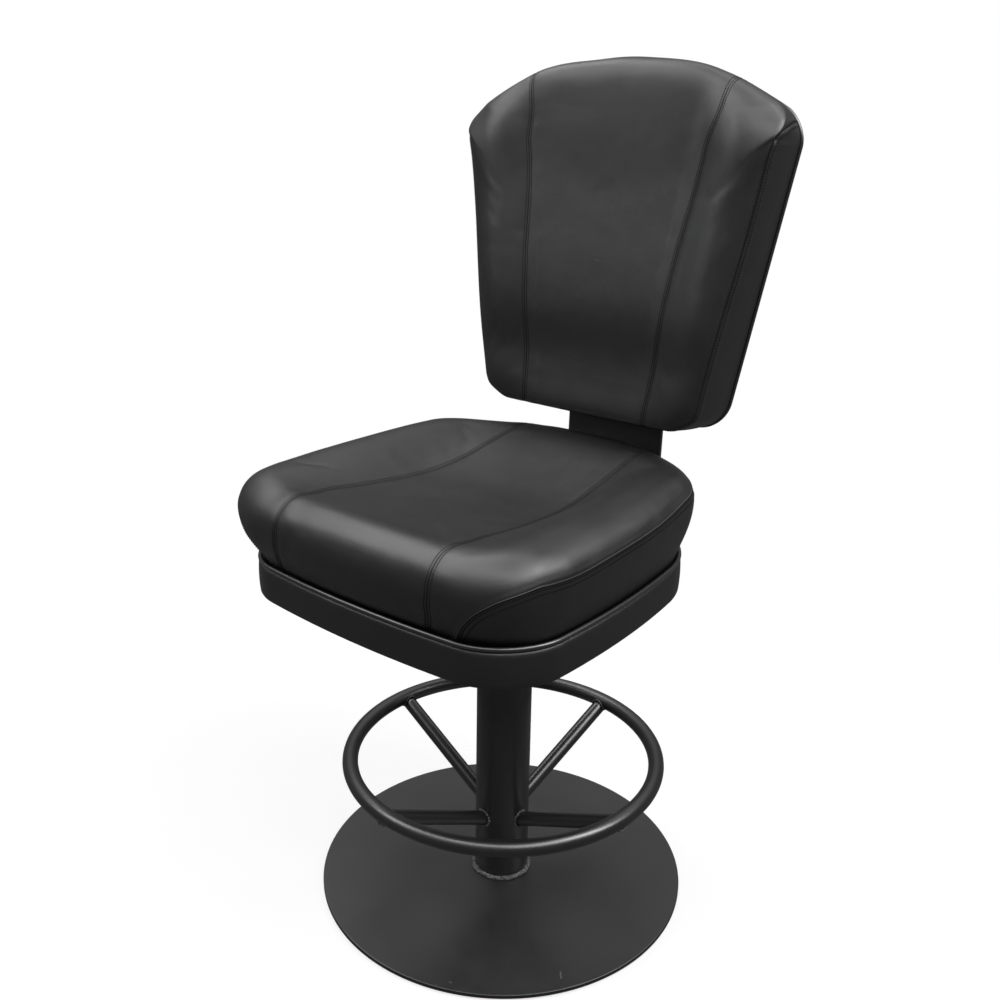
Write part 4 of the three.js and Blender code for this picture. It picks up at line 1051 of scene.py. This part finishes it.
class STOOL_OT_back_cushion(bpy.types.Operator):
    """Make the back cushion, its seams and its stitches"""

    bl_idname = "stool.back_cushion"
    bl_label = "Back Cushion"

    def execute(self, context):
        sizes = context.scene.stool_back
        flat, rows, ring, normals, face = back_grid()
        seam = gusset_level(ring)
        high = flat[..., 1]
        x = np.abs(flat[..., 0] - back_seam_lean(high))
        long_seam = (x - back_seam_half(high)) / math.hypot(1, 0.12)
        off_face = (high < SIDES_END) & (rows[:, None] < 0)
        long_seam = np.where((rows[:, None] < seam[None]) | off_face, FAR, long_seam)
        up = np.linalg.norm(np.gradient(flat, axis=0), axis=-1) / np.gradient(rows)[:, None]
        step = np.linalg.norm(ring[1] - ring[0])
        gusset = field_distance(rows[:, None], seam[None], up, step)
        gusset = np.where(rows[:, None] > 1, FAR, gusset)
        long_seam, gusset = np.clip(long_seam, -FAR, FAR), np.clip(gusset, -FAR, FAR)
        gap, pitch = sizes.stitch_gap / MM, sizes.stitch_pitch / MM
        amount = seam_relief(long_seam, sizes.groove / MM, sizes.puff / MM, (-gap, gap))
        amount = amount - 0.9 * bell(gusset, 0, 2.0) + 0.5 * bell(np.abs(gusset), 6.5, 4.0)
        grid = from_back(flat)
        shaped = push_out(grid, np.where((rows > -1)[:, None], amount, 0))
        front = float(back_deep(0.0, BACK_MIDDLE, 1.0))
        middles = from_back([(0, BACK_MIDDLE, BACK_REAR), (0, BACK_MIDDLE, front)])
        held = (rows < HELD_ROWS)[:, None] | (np.abs(long_seam) < HELD) | (np.abs(gusset) < HELD)
        shaped = settled(shaped, held, middles, BACK_CAP)
        fields = {"panel_seam": long_seam * MM, "gusset_seam": gusset * MM}
        cushion = skin("back_cushion_cover", shaped, middles=middles, fields=fields)
        finish_piece(cushion, "seat", "back_vinyl", "back", "back_cushion")
        sewn = []
        body = rows > -1
        for hand in (-1, 1):
            path = self.long_path(shaped, rows, flat, hand)
            for offset in (-gap, gap):
                sewn.append(stitch_row(path, offset, shaped[body], long_seam[body], pitch))
        edge = from_back(back_point(ring, normals, face, np.maximum(seam, -1)))
        path = open_run(edge, seam > HELD_ROWS)
        for offset in BACK_STITCH_ROWS:
            sewn.append(stitch_row(path, offset, shaped[body], gusset[body], pitch))
        finish_piece(stitches("back_stitches", sewn), "seat", "welt", "thread")
        return {"FINISHED"}

    def long_path(self, shaped, rows, flat, hand):
        """One long seam from the foot's edge, up the face and over the top."""
        away = (flat[..., 0] - back_seam_lean(flat[..., 1])) * hand - back_seam_half(flat[..., 1])
        ends = []
        for start, upper in ((0, False), (-0.9, True)):
            kept = (rows >= start) & (rows <= 1)
            part = ((flat[..., 1] > SIDES_END) == upper)[kept]
            ends.append(row_crossing(shaped[kept], away[kept], part))
        low, top = ends
        lowest, highest = ((end[-1, 2] - BACK_FOOT[1]) / math.cos(BACK_LEAN) for end in ends)
        h = np.linspace(lowest + 2, highest - 4, 300)
        x = hand * back_seam_half(h) + back_seam_lean(h)
        face = from_back(np.stack([x, h, back_deep(x, h, 1.0)], 1))
        return np.concatenate([low, face, top[::-1]])


class STOOL_OT_back_panel(bpy.types.Operator):
    """Make the rear panel of the back and the piping round it"""

    bl_idname = "stool.back_panel"
    bl_label = "Back Panel and Piping"

    def execute(self, context):
        sizes = context.scene.stool_back
        ring, normals = plan(BACK_CORNERS, BACK_BOWS, BACK_RADII, BACK_PLACES)
        rim, soft, rear, front = ring + normals * 5.0, 1.5, -2.0, 3.5
        most = sizes.panel_crown / MM
        rows = []
        for share in np.linspace(0, 1, 60)[1:]:
            spot = mix(np.array((0.0, BACK_MIDDLE)), rim - normals * soft, share)
            rows.append(lift(spot, rear - most * (1 - smooth(share) ** 1.5)))
        for a in np.linspace(0, math.pi / 2, 6)[1:]:
            rows.append(lift(rim - normals * (soft - soft * math.sin(a)), rear + soft - soft * math.cos(a)))
        rows += [lift(rim, 2.4), lift(rim - normals * 3.7, front)]
        ends = from_back([(0, BACK_MIDDLE, rear - most), (0, BACK_MIDDLE, front)])
        panel = skin("back_panel_cover", from_back(np.stack(rows)), middles=ends)
        finish_piece(panel, "seat", "panel_vinyl", "panel", "back_panel")
        bead = from_back(bead_round(ring, normals, 2.5, 5.5, 3.65, 16))
        piping = skin("back_piping_cover", bead, hoop=True)
        finish_piece(piping, "seat", "welt", "welt", "back_piping")
        return {"FINISHED"}


class STOOL_OT_back_bracket(bpy.types.Operator):
    """Make the bent steel bracket between the seat and the back"""

    bl_idname = "stool.back_bracket"
    bl_label = "Back Bracket"

    def execute(self, context):
        """A bar's rounded section, 161 by 6, carried back under the seat, round the bend and up."""
        half, thick, soft, inside = 80.5, 6.0, 1.0, 12.0
        under, front_end, top_end = 466.0, -80.0, 240.0
        s, c = math.sin(BACK_LEAN), math.cos(BACK_LEAN)
        middle = inside + thick / 2
        bend_level = under + inside + thick
        rise = bend_level - BACK_FOOT[1]
        bend_y = BACK_FOOT[0] + (rise * s - BACK_REAR - inside - thick) / c
        turn = np.linspace(-math.pi / 2, -BACK_LEAN, 25)
        bend = np.stack([bend_y + middle * np.cos(turn), bend_level + middle * np.sin(turn)], 1)
        top = from_back([(0.0, top_end, BACK_REAR + thick / 2)])[:, 1:]
        path = np.concatenate([[(front_end, under + thick / 2), (0.0, under + thick / 2)], bend, top])
        way = unit(np.gradient(path, axis=0))
        corner = np.linspace(0, math.pi / 2, 5)
        arc = np.stack([np.cos(corner), np.sin(corner)], 1) * soft
        right = np.array((half - soft, thick / 2 - soft)) + arc
        left = right[::-1] * (-1, 1)
        section = np.concatenate([right, left, -right, -left])
        normal = np.stack([-way[:, 1], way[:, 0]], 1)
        across = np.broadcast_to(section[None, :, :1], (len(path), len(section), 1))
        deep = path[:, None] + normal[:, None] * section[None, :, 1:]
        grid = np.concatenate([across, deep], -1)[:, ::-1]
        bracket = skin("back_bracket_bar", grid)
        finish_piece(bracket, "seat", "bracket_paint", "bracket", "back_bracket")
        return {"FINISHED"}


# Pedestal


class PedestalSizes(bpy.types.PropertyGroup):
    """Sizes of the base, the column and the foot ring."""

    disc_radius: FloatProperty(
        name="Disc Radius", description="Radius of the base", default=0.26, unit="LENGTH"
    )
    disc_edge: FloatProperty(
        name="Disc Edge", description="Bevel of its rim", default=0.0012, unit="LENGTH"
    )
    column_radius: FloatProperty(
        name="Column Radius", description="Outside radius of the column", default=0.0383, unit="LENGTH"
    )
    ring_radius: FloatProperty(
        name="Ring Radius", description="Radius of the foot ring's own axis", default=0.216, unit="LENGTH"
    )
    ring_tube: FloatProperty(
        name="Ring Tube", description="Radius of the foot ring's tube", default=0.0109, unit="LENGTH"
    )
    rod: FloatProperty(name="Spoke Radius", description="Radius of a spoke", default=0.01, unit="LENGTH")
    ripple: FloatProperty(
        name="Weld Ripple", description="Height of the ripples on a weld", default=0.0007, unit="LENGTH"
    )


class STOOL_OT_base(bpy.types.Operator):
    """Make the base disc, the column and the weld between them"""

    bl_idname = "stool.base"
    bl_label = "Base and Column"

    def execute(self, context):
        sizes = context.scene.stool_pedestal
        r, e = sizes.disc_radius / MM, sizes.disc_edge / MM
        turn = np.linspace(0, math.pi / 2, 5)
        low = [(r * k / 12, PAD_TOP) for k in range(1, 12)]
        low += [(r - e * 0.6, PAD_TOP), (r, PAD_TOP + e * 0.6)]
        rim = [(r - e + e * math.cos(a), DISC_TOP - e + e * math.sin(a)) for a in turn]
        top = [(r - e - 0.5, DISC_TOP)] + [(r * k / 24, DISC_TOP) for k in range(23, 0, -1)]
        disc = turned("base_disc", low + rim + top, 256)
        finish_piece(disc, "pedestal", "paint", "disc", "base_plate")
        c = sizes.column_radius / MM
        tube = [(c * 0.5, COLUMN_FOOT), (c - 0.3, COLUMN_FOOT)]
        tube += [(c, z) for z in np.linspace(8.4, 436.2, 40)]
        column = turned("column_post", tube + [(c - 0.6, COLUMN_TOP), (c * 0.5, COLUMN_TOP)], 128)
        finish_piece(column, "pedestal", "paint", "paint", "column_tube")
        around, section = circle(360), circle(14)
        wave = sizes.ripple / MM * (np.abs(np.sin(around * 34)) ** 0.7 + 0.5 * np.sin(around * 9 + 1.0))
        size = 3.1 + wave[None] * 0.6 * (np.cos(section)[:, None] > -0.3)
        radius = c + 1.6 + size * np.cos(section)[:, None] * 1.15
        height = 9.6 + size * np.sin(section)[:, None]
        grid = np.stack([radius * np.cos(around), radius * np.sin(around), np.maximum(height, 8.02)], -1)
        weld = skin("column_weld_bead", grid, hoop=True)
        finish_piece(weld, "pedestal", "weld", "weld", "foot_weld")
        return {"FINISHED"}


class STOOL_OT_foot_rest(bpy.types.Operator):
    """Make the foot ring, its four spokes and their welds"""

    bl_idname = "stool.foot_rest"
    bl_label = "Foot Ring and Spokes"

    def execute(self, context):
        sizes = context.scene.stool_pedestal
        big, tube = sizes.ring_radius / MM, sizes.ring_tube / MM
        around, section = circle(288), circle(28)[:, None]
        radius = big + tube * np.cos(section)
        height = np.broadcast_to(RING_LEVEL + tube * np.sin(section), (len(section), len(around)))
        grid = np.stack([radius * np.cos(around), radius * np.sin(around), height], -1)
        ring = skin("foot_ring_tube", grid, hoop=True)
        finish_piece(ring, "pedestal", "paint", "paint", "foot_ring")
        for k in range(4):
            self.spoke(sizes, k, big, tube)
        return {"FINISHED"}

    def axis(self, sizes):
        """Height of the spoke's axis at the column's axis and its rise over each unit of run."""
        rise = (SPOKE_OUTER - SPOKE_INNER) / (sizes.ring_radius / MM - sizes.column_radius / MM)
        return SPOKE_OUTER - rise * sizes.ring_radius / MM, rise

    def around_rod(self, sizes, run, radius, turn):
        """Points at a run from the column's axis and a turn round the rod's own axis."""
        start, rise = self.axis(sizes)
        tilt = math.atan(rise)
        out, up = radius * np.cos(turn) * -math.sin(tilt), radius * np.cos(turn) * math.cos(tilt)
        return np.stack([run + out, radius * np.sin(turn) + 0 * run, start + rise * run + up], -1)

    def meets(self, sizes, radius, turn, big, tube):
        """Runs at which the rod's side lines come through the column and reach the ring, by halving
        the step between a run that is outside and one that is inside."""
        col = sizes.column_radius / MM
        low, high = np.zeros_like(turn), np.full_like(turn, big * 0.6)
        near, far = np.full_like(turn, big * 0.6), np.full_like(turn, big)
        for _ in range(40):
            mid = (low + high) / 2
            p = self.around_rod(sizes, mid, radius, turn)
            inside = np.hypot(p[..., 0], p[..., 1]) < col
            low, high = np.where(inside, mid, low), np.where(inside, high, mid)
            mid = (near + far) / 2
            p = self.around_rod(sizes, mid, radius, turn)
            clear = np.hypot(np.hypot(p[..., 0], p[..., 1]) - big, p[..., 2] - RING_LEVEL) > tube
            near, far = np.where(clear, mid, near), np.where(clear, far, mid)
        return high, near

    def spoke(self, sizes, k, big, tube):
        heading = SPOKE_HEADING + k * math.pi / 2
        c, s = math.cos(heading), math.sin(heading)
        spin = np.array([[c, s, 0], [-s, c, 0], [0, 0, 1]])
        rod = sizes.rod / MM
        turn = circle(32)
        start, end = self.meets(sizes, rod, turn, big, tube)
        shares = np.linspace(0, 1, 30)[:, None]
        grid = self.around_rod(sizes, mix(start - 1.0, end + 1.0, shares), rod, turn + 0 * shares) @ spin
        bar = skin(f"foot_spoke_rod_{k + 1}", grid[:, ::-1])
        finish_piece(bar, "pedestal", "paint", "paint", f"foot_spoke_{k + 1}")
        turn = circle(96)
        wave = 1 + 0.22 * np.sin(turn * 17) + 0.12 * np.sin(turn * 7 + k)
        runs = self.meets(sizes, rod + WELD_REACH, turn, big, tube)
        for run, size, name in zip(runs, (1.5, 1.3), ("inner", "outer")):
            thick = size * wave
            path = self.around_rod(sizes, run, rod + WELD_REACH, turn)
            way = unit(np.roll(path, -1, axis=0) - np.roll(path, 1, axis=0))
            away = unit(self.around_rod(sizes, run, rod + 5, turn) - path)
            side = np.cross(way, away)
            round_bead = circle(10)[:, None, None]
            bead = path + thick[:, None] * (np.cos(round_bead) * away + np.sin(round_bead) * side)
            piece = skin(f"spoke_weld_{name}_{k + 1}", bead @ spin, hoop=True)
            finish_piece(piece, "pedestal", "weld", "weld")


class STOOL_OT_hardware(bpy.types.Operator):
    """Finish the boards, plates, bolts and the pad that keep their frame shapes"""

    bl_idname = "stool.hardware"
    bl_label = "Hardware Finishes"

    def execute(self, context):
        finishes = {
            "rubber": ("floor_pad",),
            "paint": ("column_flange",),
            "bearing": ("swivel_ball_ring",),
            "plywood": ("seat_board", "back_board"),
        }
        kept = {node: key for key, nodes in finishes.items() for node in nodes}
        for name, node in frame["nodes"].items():
            if not node.hide_render:
                node.data.materials.clear()
                node.data.materials.append(finish_named(kept.get(name, "zinc")))
        return {"FINISHED"}


# Finish and studio settings


class FinishSettings(bpy.types.PropertyGroup):
    """Colours and gloss of the stool."""

    vinyl_colour: FloatVectorProperty(
        name="Vinyl",
        description="Colour of the vinyl",
        subtype="COLOR",
        size=3,
        default=(0.0058, 0.0059, 0.0062),
    )
    vinyl_roughness: FloatProperty(
        name="Vinyl Roughness", description="Gloss of the vinyl", default=0.4
    )
    vinyl_specular: FloatProperty(
        name="Vinyl Reflection", description="Strength of its reflection", default=0.9
    )
    grain_size: FloatProperty(
        name="Grain Size", description="Width of a grain cell", default=0.0011, unit="LENGTH"
    )
    grain_depth: FloatProperty(
        name="Grain Depth", description="Depth of the grain", default=0.00004, unit="LENGTH"
    )
    paint_colour: FloatVectorProperty(
        name="Paint",
        description="Colour of the steel",
        subtype="COLOR",
        size=3,
        default=(0.008, 0.0082, 0.0085),
    )
    paint_roughness: FloatProperty(name="Paint Roughness", description="Gloss of the paint", default=0.32)
    paint_specular: FloatProperty(
        name="Paint Reflection", description="Strength of its reflection", default=0.95
    )


class StudioSettings(bpy.types.PropertyGroup):
    """Light, floor and camera."""

    floor: FloatVectorProperty(
        name="Floor", description="Colour of the floor", subtype="COLOR", size=3, default=(0.86, 0.86, 0.86)
    )
    bounce: FloatProperty(
        name="Floor Bounce", description="How much the floor lights the stool", default=0.05
    )
    front: FloatProperty(
        name="Front Room Light", description="Light from the room in front", default=0.13
    )
    behind: FloatProperty(name="Rear Room Light", description="Light from the room behind", default=0.12)
    ceiling: FloatProperty(
        name="Ceiling Light", description="Light added by the room's ceiling", default=0.6
    )
    reflection: FloatProperty(
        name="Room Reflection", description="How white the near floor is in reflections", default=0.06
    )
    power: FloatProperty(name="Lamps", description="Scales the power of every soft box", default=1.0)
    lens: FloatProperty(name="Lens", description="Focal length", default=38.34)


def soft_box(name, heading, rise, far, size, power):
    """A rectangular lamp at a distance from the seat, turned to face it. The heading is in degrees,
    0 in front of the stool and growing to its left hand; the rise is in degrees above level."""
    turn, lift_up, middle = math.radians(heading), math.radians(rise), Vector((0, -0.05, 0.6))
    way = Vector((math.sin(turn) * math.cos(lift_up), -math.cos(turn) * math.cos(lift_up), math.sin(lift_up)))
    lamp = bpy.data.lights.new(name, "AREA")
    lamp.shape, lamp.size, lamp.size_y, lamp.energy = "RECTANGLE", size[0], size[1], power
    made = bpy.data.objects.new(name, lamp)
    made.location = middle + way * far
    made.rotation_euler = (-way).to_track_quat("-Z", "Y").to_euler()
    bpy.context.scene.collection.objects.link(made)


class STOOL_OT_studio(bpy.types.Operator):
    """Make the floor, the soft light and the camera"""

    bl_idname = "stool.studio"
    bl_label = "Studio"

    LEVEL = -0.3  # millimetres: just under the pad, so that the floor shares no plane with it
    PLACE = (0.8362, -1.0180, 1.0299)
    HEADING, DIP, ROLL, SENSOR = -0.6956, 0.3328, 0.0164, 36.0

    # Each soft box: name, heading, rise, distance, width and height in metres, power
    BOXES = (
        ("side_box", -86, 56, 2.8, (1.6, 1.1), 22.0),
        ("key_box", -48, 38, 2.1, (0.8, 0.8), 9.5),
        ("front_box", 5, 57, 2.8, (1.8, 0.8), 17.0),
        ("fill_box", 80, 50, 2.8, (2.6, 1.4), 41.0),
        ("rear_box", 116, 42, 2.8, (0.9, 1.6), 33.0),
        ("top_box", 180, 74, 2.8, (2.2, 0.8), 10.0),
    )

    def execute(self, context):
        studio = context.scene.stool_studio
        self.world(studio)
        self.floor(studio)
        for name, heading, rise, far, size, share in self.BOXES:
            soft_box(name, heading, rise, far, size, share * studio.power)
        self.camera(studio)
        context.scene.view_settings.view_transform = "Standard"
        return {"FINISHED"}

    def seen(self, s, share=0.0):
        """1 for what the camera sees, itself or through glass, and a share of it in reflections."""
        kinds = ("Camera", "Glossy", "Transmission")
        camera, glossy, through = (s.node("ShaderNodeLightPath", out=f"Is {kind} Ray") for kind in kinds)
        return (camera + through + glossy * share).least(1.0)

    def world(self, studio):
        """White where it is seen, dim where it lights."""
        world = bpy.data.worlds.new("studio_room")
        world.use_nodes = True
        s = Shader(None, world.node_tree)
        way = s.node("ShaderNodeTexCoord")
        up = s.node("ShaderNodeSeparateXYZ", None, {"Vector": way}, out="Z")
        rear = s.node("ShaderNodeSeparateXYZ", None, {"Vector": way}, out="Y")
        level = rear.between(-0.6, 0.4, studio.front, studio.behind)
        level = (level + up.between(0.42, 0.7, 0.0, studio.ceiling) + self.seen(s)).least(1.0)
        light = s.node("ShaderNodeBackground", None, {"Color": (1, 1, 1, 1), "Strength": level})
        s.node("ShaderNodeOutputWorld", None, {"Surface": light})
        bpy.context.scene.world = world

    def floor(self, studio):
        """A wide pale disc: near the stool it shows the stool's shadow, and further out, what the
        camera sees of it turns as white as the room."""
        s = Shader("studio_floor")
        direct = s.node("ShaderNodeLightPath", out="Is Camera Ray")
        colour = s.blend(direct, tuple([studio.bounce] * 3), tuple(studio.floor))
        away = Wire(s, s.place.maths("LENGTH").socket.node.outputs["Value"])
        rear = s.node("ShaderNodeSeparateXYZ", None, {"Vector": s.place}, out="Y")
        far = away.between(1.2, 4.0, studio.reflection, 1.0)
        far = far * rear.between(-1.5, 1.0, studio.front, studio.behind)
        white = self.seen(s, far.most(studio.reflection)) * away.between(0.45, 1.5, 0.72, 1.0)
        diffuse = s.node("ShaderNodeBsdfDiffuse", None, {"Color": colour})
        glow = s.node("ShaderNodeEmission", None, {"Color": (1, 1, 1, 1), "Strength": 1.0})
        mixed = s.node("ShaderNodeMixShader", None, {0: white, 1: diffuse, 2: glow})
        s.node("ShaderNodeOutputMaterial", None, {"Surface": mixed})
        ring = np.stack([np.cos(circle(96)), np.sin(circle(96))], 1)
        grid = np.stack([lift(ring * radius, self.LEVEL) for radius in (30000, 12000, 4000, 1200, 300)])
        piece = put_mesh("studio_floor", *self.disc(grid))
        piece.data.materials.append(s.material)

    def disc(self, grid):
        """Points and faces of a flat disc of rings, widest first, facing up."""
        rows, count = grid.shape[:2]
        here = np.arange(count)
        nxt = (here + 1) % count
        low = np.arange(rows - 1)[:, None] * count
        quads = strips(low, low + count, count)
        last = (rows - 1) * count
        fan = np.stack([last + here, last + nxt, np.full(count, rows * count)], -1)
        return np.concatenate([grid.reshape(-1, 3), [(0, 0, self.LEVEL)]]), [quads, fan]

    def camera(self, studio):
        """Stands at the viewing place, turned by its heading, its dip and a slight roll."""
        level = math.cos(self.DIP)
        ahead = Vector((math.sin(self.HEADING) * level, math.cos(self.HEADING) * level, -math.sin(self.DIP)))
        right = ahead.cross(Vector((0, 0, 1))).normalized()
        up = right.cross(ahead)
        c, s = math.cos(self.ROLL), math.sin(self.ROLL)
        right, up = right * c + up * s, up * c - right * s
        data = bpy.data.cameras.new("camera")
        data.lens, data.sensor_width = studio.lens, self.SENSOR
        made = bpy.data.objects.new("camera", data)
        turned_to = Matrix((right, up, -ahead)).transposed().to_4x4()
        made.matrix_world = Matrix.Translation(self.PLACE) @ turned_to
        bpy.context.scene.collection.objects.link(made)
        bpy.context.scene.camera = made


class STOOL_PT_panel(bpy.types.Panel):
    """Lists the stool's pieces in the order in which they are made"""

    bl_idname = "STOOL_PT_panel"
    bl_label = "Casino Stool"
    bl_space_type = "VIEW_3D"
    bl_region_type = "UI"
    bl_category = "Stool"

    def draw(self, context):
        scene = context.scene
        for title, group, made in PANEL_ROWS:
            box = self.layout.box()
            box.label(text=title)
            settings = getattr(scene, group)
            for key in settings.__annotations__:
                box.prop(settings, key)
            for operator in made:
                box.operator(operator.bl_idname)


GROUPS = {
    "stool_finish": FinishSettings,
    "stool_seat": SeatSizes,
    "stool_back": BackSizes,
    "stool_pedestal": PedestalSizes,
    "stool_studio": StudioSettings,
}
PANEL_ROWS = (
    ("Seat", "stool_seat", (STOOL_OT_seat_cushion, STOOL_OT_seat_band)),
    ("Back", "stool_back", (STOOL_OT_back_cushion, STOOL_OT_back_panel, STOOL_OT_back_bracket)),
    ("Pedestal", "stool_pedestal", (STOOL_OT_base, STOOL_OT_foot_rest)),
    ("Finishes", "stool_finish", (STOOL_OT_hardware,)),
    ("Studio", "stool_studio", (STOOL_OT_studio,)),
)
OPERATORS = [operator for _, _, made in PANEL_ROWS for operator in made]


def register():
    for kind in (*GROUPS.values(), *OPERATORS, STOOL_PT_panel):
        bpy.utils.register_class(kind)
    for name, kind in GROUPS.items():
        setattr(bpy.types.Scene, name, PointerProperty(type=kind))


def unregister():
    for name in GROUPS:
        delattr(bpy.types.Scene, name)
    for kind in (STOOL_PT_panel, *reversed(OPERATORS), *reversed(GROUPS.values())):
        bpy.utils.unregister_class(kind)


def main():
    """Makes every piece in turn."""
    register()
    bpy.ops.stool.seat_cushion()
    bpy.ops.stool.seat_band()
    bpy.ops.stool.back_cushion()
    bpy.ops.stool.back_panel()
    bpy.ops.stool.back_bracket()
    bpy.ops.stool.base()
    bpy.ops.stool.foot_rest()
    bpy.ops.stool.hardware()
    bpy.ops.stool.studio()


if __name__ == "__main__":
    main()
